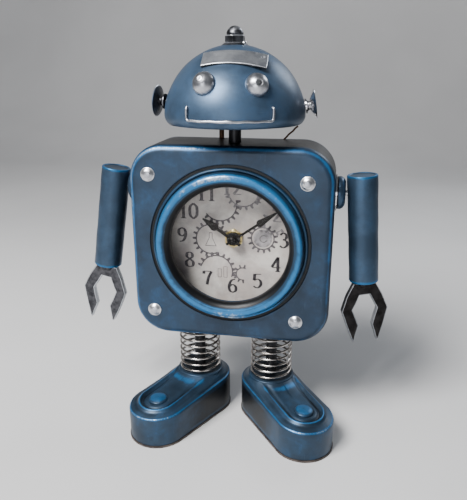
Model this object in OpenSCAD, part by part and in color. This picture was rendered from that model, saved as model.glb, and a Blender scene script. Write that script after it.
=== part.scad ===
// Robot table clock in painted and bare steel. The robot faces -Y and stands on Z = 0.
// Dimensions are in millimetres. The origin is below the middle of its outer box.
// In the names, left is the -X side and right is the +X side, as seen from the front.

/* [Body] */
// Width of the clock body
body_w = 117; // [105:1:120]
// Height of the clock body
body_h = 115.7; // [105:0.1:118]
// Depth of the clock body, front face to back cover
body_d = 40; // [38:0.5:44]
// Corner radius of the body seen from the front
corner_r = 20; // [14:0.5:24]
// Rounding where the front face turns into the sides
edge_r = 4.5; // [3:0.5:6]
// Height of the dial's middle above the table
body_z = 121; // [118:0.5:126]
// Sheet thickness of the body
wall = 1.6; // [1.4:0.1:2]

/* [Clock] */
// Radius of the round dial opening
dial_r = 34.5; // [33:0.1:35]
// Outer radius of the bezel ring
ring_r = 45.2; // [44:0.1:46]
// Depth of the dial behind the body's front face
dial_depth = 17.2; // [16:0.1:18]
// Side of the square clock movement
movement_w = 56; // [55:0.5:57]
// Thickness of the clock movement
movement_t = 17; // [16.5:0.5:17.5]
// Clockwise angle of the minute hand from twelve
minute_angle = 55; // [0:1:359]
// Length of the minute hand from its centre
minute_len = 32.5; // [28:0.5:33]
// Length of the hour hand from its centre
hour_len = 22; // [16:0.5:24]

/* [Head] */
// Radius of the head at its rim
head_r = 39.6; // [36:0.1:41]
// Height of the dome from rim to crown
head_h = 42; // [40:0.1:43]
// Height of the head's rim above the table
head_z = 188.5; // [186:0.5:192]
// Angle by which the face is turned towards +X
head_turn = 5.3; // [-15:0.1:15]
// Diameter of the eye domes
eye_d = 12.2; // [9:0.1:13]
// Diameter of the ear dishes
ear_d = 17.5; // [14:0.5:19]

/* [Arms] */
// Diameter of the arm tubes
arm_d = 17.2; // [15:0.1:18]
// Length of the arm tubes
arm_len = 63.6; // [58:0.1:68]
// Distance from the body's middle to the top of an arm
arm_x = 72.9; // [72:0.1:76]
// Outward lean of the arm on the -X side
lean_left = 9.2; // [2:0.1:11]
// Outward lean of the arm on the +X side
lean_right = 4.7; // [2:0.1:11]
// Thickness of the claw plates
claw_t = 4; // [3:0.1:5]
// Turn of the claw on the +X side about its arm
claw_turn_right = 15; // [-30:1:30]

/* [Legs] */
// Distance of each leg from the robot's middle
leg_x = 23.7; // [23:0.1:26]
// Distance of the legs behind the body's middle
leg_y = 2.7; // [0:0.1:5]
// Outer diameter of the leg springs
spring_d = 26.8; // [24:0.1:28]
// Wire diameter of the leg springs
spring_wire = 1.5; // [1:0.1:2]
// Number of turns in each leg spring
spring_turns = 8; // [7:1:10]
// Outward turn of the foot on the -X side
foot_turn_left = 28.6; // [15:0.1:35]
// Outward turn of the foot on the +X side
foot_turn_right = 36.4; // [20:0.1:40]
// Half of the width of a foot
foot_r = 18; // [16:0.1:18.5]
// Distance from the ankle to the middle of the toe's arc
foot_l = 39.6; // [36:0.1:42]

/* [Hidden] */
$fn = 64;

// Finishes
blue = [0.16, 0.30, 0.45];
dark_steel = [0.24, 0.25, 0.28];
bright_steel = [0.75, 0.76, 0.78];
black_steel = [0.08, 0.08, 0.09];
brass = [0.80, 0.62, 0.28];
black_plastic = [0.10, 0.10, 0.11];
cream = [0.86, 0.83, 0.76];
copper = [0.72, 0.42, 0.22];
board_green = [0.15, 0.38, 0.22];
clear = [0.80, 0.88, 0.92, 0.35];
rubber_black = [0.05, 0.05, 0.05];
brown = [0.34, 0.23, 0.15];

// Clearances: turning fit, and the gap kept between pieces that pass each other
run = 0.05;
gap = 0.3;

// Depth positions, with -Y towards the viewer
front_y = -body_d / 2;
back_y = body_d / 2;
body_drop = 1;
cover_t = 1.6;
shell_back_y = back_y - cover_t;
ring_seat = 0.8;
ring_lip = 0.7;
crest_r = 5.1;
sleeve_wall = 1.1;
dial_t = 0.8;
dial_y = front_y + dial_depth;
case_y = dial_y + dial_t;
case_back_y = case_y + movement_t;
case_wall = 1.2;
case_split_y = case_y + 5.5;
glass_y = front_y + wall;
glass_t = 1.6;
glass_r = 38;
gasket_w = 2;
gasket_lip = 1;
dial_plate_r = 44.2;

// Clock train: minute pinion drives the motion wheel, whose pinion drives the hour wheel
minute_pinion_teeth = 12;
motion_wheel_teeth = 36;
motion_pinion_teeth = 10;
hour_wheel_teeth = 40;
train_distance = 7.2;
fine_module = 2 * train_distance / (minute_pinion_teeth + motion_wheel_teeth);
hour_module = 2 * train_distance / (motion_pinion_teeth + hour_wheel_teeth);
motion_dir = 135;
motion_x = train_distance * cos(motion_dir);
motion_z = train_distance * sin(motion_dir);
arbor_r = 1.1;
motion_arbor_r = 0.8;
hour_tube_r = 2.2;
bushing_r = 4;
hour_gear_y = case_y + 2.6;
minute_gear_y = case_y + 3.2;
gear_t = 1.2;
hour_hand_y = case_y - 6;
minute_hand_y = case_y - 7.4;
hand_t = 0.6;
tip_half = 0.35;
hour_angle = 300 + minute_angle / 12;
opening_w = movement_w + 4;
hand_nut_flats = 10.4;
hand_nut_h = 2.2;

// AA cell in its bay, and the metal strips that touch its ends
battery_len = 49;
battery_r = 7;
battery_drop = 17;
battery_y = case_back_y - 7.4;
nub_r = 2.7;
nub_h = 1;
strip_t = 0.4;
strip_w = 8;
bay_w = 52.4;
bay_h = 15.4;

// Coil of the clock motor
coil_len = 16;
coil_r = 3.6;
coil_end_r = 4.6;
coil_end_t = 1.2;
coil_pos = [-21, 20];
coil_y = case_split_y + 4.5;
stator_y = case_split_y + 9.3;
stator_t = 0.7;
stator_bar = [20, 3];
stator_leg = [3, 9];
bridge_size = [26, 22];
bridge_pos = [-2, 3];
bridge_y = case_split_y + 1;
bridge_t = 1;
board_size = [18, 12];
board_pos = [16, 20.5];
board_t = 1.2;

// Knob on the back that sets the time
knob_r = 4.2;
knob_grip_r = 0.6;
knob_t = 3.6;

// Rivets at the body's corners, measured from the body's middle
rivet_pos = [[-46.6, 40.3], [43.4, 38], [-46.2, -43], [39.6, -44.5]];
rivet_r = 4;
rivet_shank_r = 2;
post_r = 4.2;
screw_r = 1.5;
screw_head_r = 2.8;
screw_head_t = 1.6;
rivet_ball_r = 4.7;
rivet_sink = 2.4;

// Neck, rod sizes and the crown fitting
neck_y = 0;
rod_r = 3;
sleeve_r = 3.6;
body_top_z = body_z - body_drop + body_h / 2;
body_low_z = body_z - body_drop - body_h / 2;
collar_z = head_z + head_h - 1.2;
collar_h = 1.9;
collar_r = [7.9, 6.2];
crown_nut_z = collar_z + collar_h;
crown_top_z = 240;
rear_post_pos = [-11, 16.6];
rear_post_r = 1.5;
lead_pos = [27, 16.4];
lead_r = 0.6;
lead_bend_r = 0.7;
lead_tilt = [0, 46, -10];
lead_rise = 0.4;
lead_len = 11;
m6_flats = 10;
m6_nut_h = 5;
acorn_r = 4.8;
acorn_hex_h = 4;

// Dome profile: vertical skirt, shoulder arc and crown arc, tangent to each other
skirt = 4.5;
shoulder_r = 30;
shoulder_x = head_r - shoulder_r;
crown_drop = head_h - skirt;
crown_r = (pow(shoulder_x, 2) + pow(crown_drop, 2) - pow(shoulder_r, 2)) / (2 * (crown_drop - shoulder_r));
dome_bands = 30;
rim_in = 2.2;
dome_wall = 1.2;
plate_t = 1.2;
brow_w = 34;
brow_h = 11.2;
brow_t = 1;
brow_bend = 60;
brow_sink = 0.3;
brow_tilt = 34.6;
brow_roll = 3.3;
brow_shift = 1.5;
eye_turn = [22, 23];
eye_y = -34.4;
eye_rise = [22, 21.4];

// Mouth wire: a bar round the front of the dome with an upright at each end
mouth_half = 33.5;
mouth_z = 192.6;
mouth_end_z = 199;
mouth_r = head_r + 0.85;
mouth_end_r = head_r + 0.3;
wire_r = 0.65;
bend_r = wire_r + 0.1;

// Ears, with the tilt of each dish
ear_z = [200.1, 197.9];
ear_tilt = [5, 10];
ear_yaw = [-10.5, 0];
ear_stem_r = 2;
ear_rim = [4.8, 5.6];

// Arms
shoulder_z = body_z + 29.5;
arm_top_z = 161.3;
boss_r = 9.5;
boss_h = 5.7;
boss_round = 2.4;
bolt_r = 1.5;
washer_t = 0.8;
arm_wall = 1.2;
cap_t = 1.6;
bevel = 1;
stem_r = 4;
claw_drop = 1.2;
m3_flats = 5.5;
m3_nut_h = 2.4;

// Legs and feet
leg_rod_r = 3.6;
ankle_z = 29;
ankle_r = 14.6;
sole_t = 1.2;
toe_z = 20.8;
heel_z = 23.4;
heel_y = 2.6;
foot_wall = 2;
ridge_inset = 6;
ridge_w = 1.6;
ridge_h = 2.8;
channel_h = 1.2;
button_r = 6.2;
button_h = 4.2;
sole_lip = 0.4;
spring_low_z = ankle_z + gap + spring_wire / 2;
spring_high_z = body_low_z - 1.05 - spring_wire / 2;
spring_steps = 20;

// Shift that brings the middle of the outer box over the origin
claw_half = 14.3;
claw_mid_drop = arm_len + claw_drop + 17;
reach_left = arm_x + claw_mid_drop * sin(lean_left) + claw_half * cos(lean_left);
reach_right = arm_x + claw_mid_drop * sin(lean_right)
  + (claw_half * cos(claw_turn_right) + claw_t / 2 * sin(claw_turn_right)) * cos(lean_right);
stand_x = (reach_left - reach_right) / 2;
toe_reach = foot_l * cos(foot_turn_left) + foot_r + sole_lip - leg_y;
stand_y = (toe_reach - head_r) / 2;

module place() translate([stand_x, stand_y, 0]) children();

// Stands a flat outline upright at depth y, growing towards the front
module facing(y) place() translate([0, y, body_z]) rotate([90, 0, 0]) children();

module slab(y_front, y_back) facing(y_back) linear_extrude(y_back - y_front) children();

module rounded_square(w, h, r) {
  square([w - 2 * r, h], center = true);
  square([w, h - 2 * r], center = true);
  for (sx = [-1, 1], sz = [-1, 1]) translate([sx * (w / 2 - r), sz * (h / 2 - r)]) circle(r);
}

// Rounded square block whose front edge is rounded as well
module soft_block(w, h, r, d, e) {
  hull() {
    linear_extrude(0.1) rounded_square(w, h, r, $fn = 32);
    for (a = [0:15:90]) {
      inset = e * (1 - cos(a));
      translate([0, 0, d - e + e * sin(a) - 0.05])
        linear_extrude(0.05) rounded_square(w - 2 * inset, h - 2 * inset, r - inset, $fn = 32);
    }
  }
}

module ring_flat(outer, inner) {
  difference() {
    circle(outer);
    circle(inner);
  }
}

module hex_nut(across_flats, h, bore) {
  difference() {
    cylinder(h = h, r = across_flats / 2 / cos(30), $fn = 6);
    translate([0, 0, -1]) cylinder(h = h + 2, r = bore);
  }
}

// Spur gear outline with low teeth and room between them
module gear_outline(teeth, module_size) {
  pitch_r = module_size * teeth / 2;
  root = pitch_r - 1.2 * module_size;
  tip = pitch_r + 0.8 * module_size;
  step = 360 / teeth;
  polygon([for (i = [0:teeth - 1], p = [[root, -0.27], [tip, -0.11], [tip, 0.11], [root, 0.27]])
    [p[0] * cos((i + p[1]) * step), p[0] * sin((i + p[1]) * step)]]);
}

// Body

module body_shell() color(blue) difference() {
  facing(shell_back_y) translate([0, -body_drop, 0])
    soft_block(body_w, body_h, corner_r, body_d - cover_t, edge_r);
  slab(front_y + wall, shell_back_y + 1) translate([0, -body_drop])
    rounded_square(body_w - 2 * wall, body_h - 2 * wall, corner_r - wall);
  slab(front_y - 1, front_y + 3) circle(dial_r + sleeve_wall + 0.4);
  slab(front_y - 1, front_y + ring_seat) circle(ring_r + 1.8);
  for (p = rivet_pos) slab(front_y - 1, front_y + 3) translate(p) circle(rivet_shank_r);
  place() {
    translate([0, neck_y, body_top_z - 5]) cylinder(h = 10, r = rod_r + run);
    translate([rear_post_pos[0], rear_post_pos[1], body_top_z - 5]) cylinder(h = 10, r = rear_post_r + run);
    translate([lead_pos[0], lead_pos[1], body_top_z - 5]) cylinder(h = 10, r = 1.2);
    for (s = [-1, 1]) {
      translate([s * leg_x, leg_y, body_low_z - 5]) cylinder(h = 10, r = leg_rod_r + run);
      translate([s * (body_w / 2 - 5), 0, shoulder_z]) rotate([0, s * 90, 0])
        cylinder(h = 10, r = bolt_r + run);
    }
  }
}

module back_cover() color(blue) difference() {
  union() {
    slab(shell_back_y, back_y) translate([0, -body_drop]) rounded_square(body_w, body_h, corner_r);
    slab(shell_back_y - 4, shell_back_y) translate([0, -body_drop]) difference() {
      rounded_square(body_w - 2 * wall - 0.2, body_h - 2 * wall - 0.2, corner_r - wall - 0.1);
      rounded_square(body_w - 2 * wall - 3, body_h - 2 * wall - 3, corner_r - wall - 1.5);
    }
  }
  slab(shell_back_y - 1, back_y + 1) rounded_square(opening_w, opening_w, 5);
  for (p = rivet_pos) slab(shell_back_y - 1, back_y + 1) translate(p) circle(screw_r + 0.1);
}

module bezel_ring() color(blue) facing(front_y) rotate_extrude($fn = 128) difference() {
  union() {
    translate([dial_r, -ring_seat]) square([ring_r - dial_r, ring_seat + ring_lip]);
    translate([dial_r + crest_r, 0.3]) circle(crest_r);
    translate([dial_r, -wall]) square([sleeve_wall, wall]);
  }
  translate([dial_r + sleeve_wall, -dial_depth]) square([crest_r * 2, dial_depth - ring_seat]);
  translate([dial_r - 1, -dial_depth]) square([crest_r * 2, dial_depth - wall]);
}

module dial_glass() color(clear) slab(glass_y, glass_y + glass_t) circle(glass_r);

// Bead that holds the glass against the inside of the front and keeps the dial at its distance behind it
module glass_gasket() color(rubber_black) {
  slab(glass_y, glass_y + glass_t) ring_flat(dial_plate_r, glass_r + 0.02);
  slab(glass_y + glass_t, glass_y + glass_t + gasket_lip) ring_flat(dial_plate_r, glass_r - 0.8);
  slab(glass_y + glass_t + gasket_lip, dial_y) ring_flat(dial_plate_r, dial_plate_r - gasket_w);
}

module dial_plate() color(cream) slab(dial_y, case_y) ring_flat(dial_plate_r, bushing_r + run);

module corner_rivets() color(bright_steel) for (p = rivet_pos) {
  facing(front_y) translate([p[0], p[1], 0]) {
    intersection() {
      translate([0, 0, -rivet_sink]) sphere(r = rivet_ball_r);
      cylinder(h = 5, r = rivet_r);
    }
    translate([0, 0, -4]) cylinder(h = 4.5, r = rivet_shank_r - 0.01);
  }
}

module corner_posts() color(bright_steel) for (p = rivet_pos) {
  difference() {
    slab(front_y + wall, shell_back_y) translate(p) ring_flat(post_r, screw_r + 0.02);
    slab(front_y, front_y + 4.1) translate(p) circle(rivet_shank_r);
  }
}

module back_screws() color(bright_steel) for (p = rivet_pos) {
  slab(back_y - 14, back_y) translate(p) circle(screw_r);
  facing(back_y + screw_head_t) translate([p[0], p[1], 0]) difference() {
    cylinder(h = screw_head_t, r = screw_head_r);
    translate([-3, -0.35, -0.1]) cube([6, 0.7, 0.9]);
  }
}

// Clock movement

module movement_nut() color(brass) facing(dial_y) hex_nut(hand_nut_flats, hand_nut_h, bushing_r + 0.02);

module movement_front_case() color(black_plastic) difference() {
  union() {
    slab(case_y, case_split_y) rounded_square(movement_w, movement_w, 3);
    slab(case_y - 4.6, case_y + 0.5) circle(bushing_r);
  }
  slab(case_y + case_wall, case_split_y + 1)
    rounded_square(movement_w - 2 * case_wall, movement_w - 2 * case_wall, 2);
  slab(case_y - 6, case_split_y) circle(hour_tube_r + run);
  slab(case_y - 0.5, case_y + 3) translate([motion_x, motion_z]) circle(motion_arbor_r + run);
}

module movement_back_case() color(black_plastic) difference() {
  slab(case_split_y, case_back_y) rounded_square(movement_w, movement_w, 3);
  slab(case_split_y - 1, case_back_y - case_wall)
    rounded_square(movement_w - 2 * case_wall, movement_w - 2 * case_wall, 2);
  slab(case_back_y - 3, case_back_y + 1)
    translate([0, -battery_drop]) square([bay_w, bay_h], center = true);
  slab(case_back_y - 3, case_back_y + 1) translate([motion_x, motion_z]) circle(motion_arbor_r + run);
}

module gear_bridge() color(bright_steel) slab(bridge_y, bridge_y + bridge_t) difference() {
  translate(bridge_pos) square(bridge_size, center = true);
  circle(arbor_r + run);
  translate([motion_x, motion_z]) circle(motion_arbor_r + run);
}

module circuit_board() color(board_green)
  slab(bridge_y, bridge_y + board_t) translate(board_pos) square(board_size, center = true);

module motor_coil() color(copper) place()
  translate([coil_pos[0], coil_y, body_z + coil_pos[1]]) rotate([0, 90, 0]) {
    cylinder(h = coil_len, r = coil_r);
    for (x = [-coil_end_t, coil_len]) translate([0, 0, x]) cylinder(h = coil_end_t, r = coil_end_r);
  }

module motor_stator() color(bright_steel) slab(stator_y, stator_y + stator_t) {
  translate([coil_pos[0] + coil_len / 2, coil_pos[1]]) square(stator_bar, center = true);
  translate([coil_pos[0] + coil_len + 0.5, coil_pos[1] - 3]) square(stator_leg, center = true);
}

module battery() color(dark_steel) place()
  translate([-battery_len / 2 - 0.2, battery_y, body_z - battery_drop]) rotate([0, 90, 0]) {
    cylinder(h = battery_len, r = battery_r);
    translate([0, 0, battery_len]) cylinder(h = nub_h, r = nub_r);
  }

module battery_contacts() color(brass) place() for (x = [-25.2, 25.6])
  translate([x, battery_y, body_z - battery_drop]) cube([strip_t, strip_w, strip_w], center = true);

// Hands and wheels

module spade_hand(length, width, spade) {
  circle(width * 1.7);
  translate([-width / 2, -width * 3]) square([width, length * 0.62 + width * 3]);
  translate([0, length * 0.62]) circle(spade);
  polygon([[-spade * 0.96, length * 0.63], [spade * 0.96, length * 0.63],
    [tip_half, length], [-tip_half, length]]);
}

module minute_hand() color(black_steel) slab(minute_hand_y, minute_hand_y + hand_t)
  rotate(-minute_angle) difference() {
    spade_hand(minute_len, 1.5, 2.2);
    circle(arbor_r + 0.01);
  }

module hour_hand() color(black_steel) slab(hour_hand_y, hour_hand_y + hand_t)
  rotate(-hour_angle) difference() {
    spade_hand(hour_len, 1.8, 2.5);
    circle(hour_tube_r + 0.01);
  }

module hand_cap() color(black_steel) facing(minute_hand_y) difference() {
  intersection() {
    translate([0, 0, -1.2]) sphere(r = 3.2);
    cylinder(h = 3, r = 2.6);
  }
  translate([0, 0, -1]) cylinder(h = 2, r = arbor_r + 0.01);
}

module minute_arbor() color(brass) {
  slab(minute_hand_y - 0.9, case_split_y + 3) circle(arbor_r);
  slab(minute_gear_y - 0.2, minute_gear_y + gear_t)
    rotate(motion_dir) gear_outline(minute_pinion_teeth, fine_module);
}

module hour_wheel() color(brass) difference() {
  union() {
    slab(hour_gear_y - gear_t, hour_gear_y)
      rotate(motion_dir) gear_outline(hour_wheel_teeth, hour_module);
    slab(hour_hand_y, hour_gear_y) circle(hour_tube_r);
  }
  slab(hour_hand_y - 1, hour_gear_y + 1) circle(arbor_r + run);
}

module motion_wheel() color(brass) {
  slab(hour_gear_y - gear_t - 0.1, hour_gear_y + 0.2) translate([motion_x, motion_z])
    rotate(motion_dir + 180 + 180 / motion_pinion_teeth) gear_outline(motion_pinion_teeth, hour_module);
  slab(minute_gear_y, minute_gear_y + 1) translate([motion_x, motion_z])
    rotate(motion_dir + 180 + 180 / motion_wheel_teeth) gear_outline(motion_wheel_teeth, fine_module);
  slab(case_y + 0.2, case_back_y + 3.4) translate([motion_x, motion_z]) circle(motion_arbor_r);
}

module setting_knob() color(black_plastic)
  slab(case_back_y + 0.4, case_back_y + 0.4 + knob_t) translate([motion_x, motion_z]) difference() {
    union() {
      circle(knob_r);
      for (a = [0:30:359]) rotate(a) translate([knob_r - 0.1, 0]) circle(knob_grip_r, $fn = 16);
    }
    circle(motion_arbor_r + 0.01);
  }

// Neck and crown

module neck_rod() color(black_steel) place()
  translate([0, neck_y, body_top_z - 9]) cylinder(h = crown_nut_z + 3 - body_top_z + 9, r = rod_r);

module neck_sleeve() color(black_steel) place() translate([0, neck_y, body_top_z]) difference() {
  cylinder(h = head_z - body_top_z - gap, r = sleeve_r);
  translate([0, 0, -1]) cylinder(h = 20, r = rod_r + 0.01);
}

module neck_nuts() color(bright_steel) place()
  translate([0, neck_y, body_top_z - wall - m6_nut_h]) hex_nut(m6_flats, m6_nut_h, rod_r + 0.01);

module finial_collar() color(dark_steel) place() difference() {
  translate([0, neck_y, 0]) rotate_extrude()
    polygon([[rod_r + 0.01, collar_z], [collar_r[0], collar_z], [collar_r[0], collar_z + 0.9],
      [collar_r[1], collar_z + collar_h], [rod_r + 0.01, collar_z + collar_h]]);
  dome_solid(gap);
}

module acorn_nut() color(dark_steel) place() translate([0, neck_y, crown_nut_z]) difference() {
  union() {
    cylinder(h = acorn_hex_h, r = m6_flats / 2 / cos(30), $fn = 6);
    intersection() {
      translate([0, 0, crown_top_z - crown_nut_z - acorn_r]) sphere(r = acorn_r);
      cylinder(h = 20, r = acorn_r);
    }
    cylinder(h = crown_top_z - crown_nut_z - acorn_r, r = acorn_r);
  }
  translate([0, 0, -1]) cylinder(h = 5, r = rod_r + 0.01);
}

module rear_post() color(brown) place()
  translate([rear_post_pos[0], rear_post_pos[1], body_top_z - wall])
    cylinder(h = head_z - body_top_z - gap + wall, r = rear_post_r);

module neck_lead() color(brown) place() translate([lead_pos[0], lead_pos[1], body_top_z]) {
  translate([0, 0, -wall]) cylinder(h = wall + lead_rise, r = lead_r);
  translate([0, 0, lead_rise]) sphere(r = lead_bend_r);
  translate([0, 0, lead_rise]) rotate(lead_tilt) cylinder(h = lead_len, r = lead_r);
}

// Head

// Half outline of the dome in narrow cone bands, moved out by extra
module dome_outline(extra) {
  crown_z = head_h - crown_r;
  blend = asin((skirt - crown_z) / (crown_r - shoulder_r));
  polygon(concat(
    [[0, 0], [head_r - rim_in + extra, 0], [head_r - 0.43 * rim_in + extra, 1],
      [head_r - 0.11 * rim_in + extra, 2.4]],
    [for (k = [0:5]) let (a = blend * k / 6, r = shoulder_r + extra)
      [shoulder_x + r * cos(a), skirt + r * sin(a)]],
    [for (k = [0:dome_bands - 1]) let (a = blend + (90 - blend) * k / dome_bands, r = crown_r + extra)
      [r * cos(a), crown_z + r * sin(a)]],
    [[0, head_h + extra]]
  ));
}

module dome_solid(extra) translate([0, neck_y, head_z]) rotate_extrude($fn = 128) dome_outline(extra);

// Puts a piece in the head's own frame, with the face towards -Y
module in_head() place() translate([0, neck_y, 0]) rotate([0, 0, head_turn]) children();

module head_dome() color(blue) difference() {
  place() difference() {
    dome_solid(0);
    translate([0, 0, -0.001]) dome_solid(-dome_wall);
    translate([0, neck_y, head_z + 20]) cylinder(h = 40, r = rod_r + run);
  }
  in_head() {
    for (s = [-1, 1]) {
      ear_place(s) translate([0, 0, -8]) cylinder(h = 9, r = ear_stem_r + 0.02);
      mouth_end(s) rotate([0, 90, 0]) translate([0, 0, -4]) cylinder(h = 4, r = wire_r + 0.03);
    }
  }
}

module head_base_plate() color(dark_steel) place() difference() {
  translate([0, neck_y, head_z]) cylinder(h = plate_t, r = head_r - rim_in - dome_wall - 0.02, $fn = 128);
  translate([0, neck_y, head_z - 1]) cylinder(h = 4, r = rod_r + run);
}

// Strip bent round one way only, so its ends stand a little off the dome
module brow_plate() color(bright_steel) in_head() difference() {
  translate([0, 0, head_z + head_h - crown_r]) rotate([brow_tilt, 0, 0]) rotate([0, 0, -brow_roll])
    translate([brow_shift, brow_h / 2, crown_r - brow_sink - brow_bend]) rotate([90, 0, 0])
      linear_extrude(brow_h) intersection() {
        ring_flat(brow_bend + brow_t, brow_bend, $fn = 128);
        translate([-brow_w / 2, 0]) square([brow_w, brow_bend * 2]);
      }
  translate([0, 0, head_z]) rotate_extrude($fn = 128) dome_outline(0.02);
}

module eye(side) color(bright_steel) in_head() difference() {
  rotate([0, 0, side < 0 ? -eye_turn[0] : eye_turn[1]])
    translate([0, eye_y, head_z + (side < 0 ? eye_rise[0] : eye_rise[1])]) sphere(r = eye_d / 2);
  translate([0, 0, head_z]) rotate_extrude($fn = 128) dome_outline(0.02);
}

module eye_left() eye(-1);

module eye_right() eye(1);

// Frame at the top of a mouth upright, with X pointing out of the dome
module mouth_end(side) rotate([0, 0, -90 + side * mouth_half]) translate([mouth_end_r, 0, mouth_end_z])
  children();

module mouth_wire() color(bright_steel) in_head() {
  translate([0, 0, mouth_z]) rotate([0, 0, -90 - mouth_half])
    rotate_extrude(angle = 2 * mouth_half, $fn = 128) translate([mouth_r, 0]) circle(wire_r);
  for (s = [-1, 1]) {
    rotate([0, 0, -90 + s * mouth_half]) {
      translate([mouth_r, 0, mouth_z]) sphere(r = bend_r);
      translate([mouth_r, 0, mouth_z])
        rotate([0, atan2(mouth_end_r - mouth_r, mouth_end_z - mouth_z), 0])
          cylinder(h = mouth_end_z - mouth_z, r = wire_r);
    }
    mouth_end(s) {
      sphere(r = bend_r);
      rotate([0, -90, 0]) cylinder(h = 3.5, r = wire_r);
    }
  }
}

// Frame on the dome's side with Z pointing out along the ear
module ear_place(side) {
  i = side < 0 ? 0 : 1;
  translate([side * (head_r - 0.5), 0, ear_z[i]]) rotate([0, 0, ear_yaw[i]])
    rotate([0, side * (90 - ear_tilt[i]), 0]) children();
}

module ear(side) color(bright_steel) in_head() {
  rim = side < 0 ? ear_rim[0] : ear_rim[1];
  difference() {
    ear_place(side) rotate_extrude() polygon([[0, 0.5], [4.2, 0.5], [4.2, 1.2], [3, 1.6], [3, 2.8],
      [4.4, 3.8], [ear_d / 2, rim], [ear_d / 2, rim + 0.5], [4, 4.8], [0, 4.2]]);
    translate([0, 0, head_z]) rotate_extrude($fn = 128) dome_outline(0.02);
  }
  ear_place(side) translate([0, 0, -4]) cylinder(h = 5, r = ear_stem_r);
}

module ear_left() ear(-1);

module ear_right() ear(1);

// Arms

function lean(side) = side < 0 ? lean_left : lean_right;

// Frame at the top of an arm tube, with -Z running down the arm
module in_arm(side) place() translate([side * arm_x, 0, arm_top_z]) rotate([0, -side * lean(side), 0])
  children();

module shoulder_place(side) place() translate([side * body_w / 2, 0, shoulder_z])
  rotate([0, side * 90, 0]) children();

module shoulder_washers() color(bright_steel) for (s = [-1, 1]) shoulder_place(s) difference() {
  cylinder(h = washer_t, r = boss_r + 1);
  translate([0, 0, -1]) cylinder(h = 4, r = bolt_r + 0.01);
}

module shoulder_boss(side) color(blue) shoulder_place(side) rotate_extrude() difference() {
  union() {
    translate([0, washer_t]) square([boss_r, boss_h - washer_t - boss_round]);
    translate([0, washer_t]) square([boss_r - boss_round, boss_h - washer_t]);
    translate([boss_r - boss_round, boss_h - boss_round]) circle(boss_round);
  }
  translate([-20, 0]) square([20 + bolt_r + 0.01, 20]);
}

module shoulder_boss_left() shoulder_boss(-1);

module shoulder_boss_right() shoulder_boss(1);

function arm_axis_x(side) = arm_x + (arm_top_z - shoulder_z) * tan(lean(side)) - body_w / 2;

module shoulder_bolt(side) color(bright_steel) shoulder_place(side) {
  translate([0, 0, -wall - 4.5]) cylinder(h = arm_axis_x(side) - 5.6 + wall + 4.5, r = bolt_r);
  translate([0, 0, arm_axis_x(side) - 6.2]) cylinder(h = 1.4, r = 2.4);
}

module shoulder_bolt_left() shoulder_bolt(-1);

module shoulder_bolt_right() shoulder_bolt(1);

module shoulder_nuts() color(bright_steel) for (s = [-1, 1])
  shoulder_place(s) translate([0, 0, -wall - m3_nut_h]) hex_nut(m3_flats, m3_nut_h, bolt_r + 0.01);

module arm_tube(side) color(blue) difference() {
  in_arm(side) difference() {
    translate([0, 0, -arm_len]) union() {
      translate([0, 0, bevel]) cylinder(h = arm_len - 2 * bevel, r = arm_d / 2);
      cylinder(h = bevel, r1 = arm_d / 2 - bevel, r2 = arm_d / 2);
      translate([0, 0, arm_len - bevel]) cylinder(h = bevel, r1 = arm_d / 2, r2 = arm_d / 2 - bevel);
    }
    translate([0, 0, cap_t - arm_len]) cylinder(h = arm_len - 2 * cap_t, r = arm_d / 2 - arm_wall);
    translate([0, 0, -arm_len - 1]) cylinder(h = 5, r = stem_r + run);
  }
  shoulder_place(side) cylinder(h = arm_axis_x(side) - 3, r = bolt_r + run);
}

module arm_tube_left() arm_tube(-1);

module arm_tube_right() arm_tube(1);

module claw_outline() polygon([
  [-6.6, 0], [6.6, 0], [claw_half, -17], [8.2, -37.4], [7.2, -38.4], [4.3, -27.5], [7.4, -17],
  [3, -7.6], [-3, -7.6], [-7.4, -17], [-4.3, -27.5], [-7.2, -38.4], [-8.2, -37.4], [-claw_half, -17]
]);

module claw(side) color(dark_steel) in_arm(side) translate([0, 0, -arm_len - claw_drop])
  rotate([0, 0, side > 0 ? claw_turn_right : 0]) {
    translate([0, claw_t / 2, 0]) rotate([90, 0, 0]) linear_extrude(claw_t) claw_outline();
    translate([0, 0, -0.8]) cylinder(h = claw_drop + 6, r = stem_r);
  }

module claw_left() claw(-1);

module claw_right() claw(1);

// Legs and feet

module leg_place(side) place() translate([side * leg_x, leg_y, 0]) children();

module leg_rod(side) color(black_steel) leg_place(side)
  translate([0, 0, 6]) cylinder(h = body_low_z + 9 - 6, r = leg_rod_r);

module leg_rod_left() leg_rod(-1);

module leg_rod_right() leg_rod(1);

module leg_nuts() color(bright_steel) for (s = [-1, 1]) leg_place(s) {
  translate([0, 0, body_low_z + wall]) hex_nut(m6_flats, m6_nut_h, leg_rod_r + 0.01);
  translate([0, 0, 6.6]) hex_nut(m6_flats, m6_nut_h, leg_rod_r + 0.01);
}

module spring_washers() color(bright_steel) for (s = [-1, 1]) leg_place(s)
  translate([0, 0, body_low_z - 1]) difference() {
    cylinder(h = 1, r = spring_d / 2);
    translate([0, 0, -1]) cylinder(h = 4, r = leg_rod_r + 0.01);
  }

// Height of the coil's wire after a number of turns, with closed ends
function coil_z(t) = let (
  close = 0.6,
  u = min(max((t - close) / (spring_turns - 2 * close), 0), 1)
) spring_low_z + 0.25 * min(t / close, 1) + 0.25 * max((t - spring_turns + close) / close, 0)
  + (spring_high_z - spring_low_z - 0.5) * u;

function coil_ring(t) = [for (k = [0:5])
  let (r = spring_d / 2 - spring_wire / 2 + spring_wire / 2 * cos(60 * k))
    [r * cos(360 * t), r * sin(360 * t), coil_z(t) + spring_wire / 2 * sin(60 * k)]];

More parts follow.
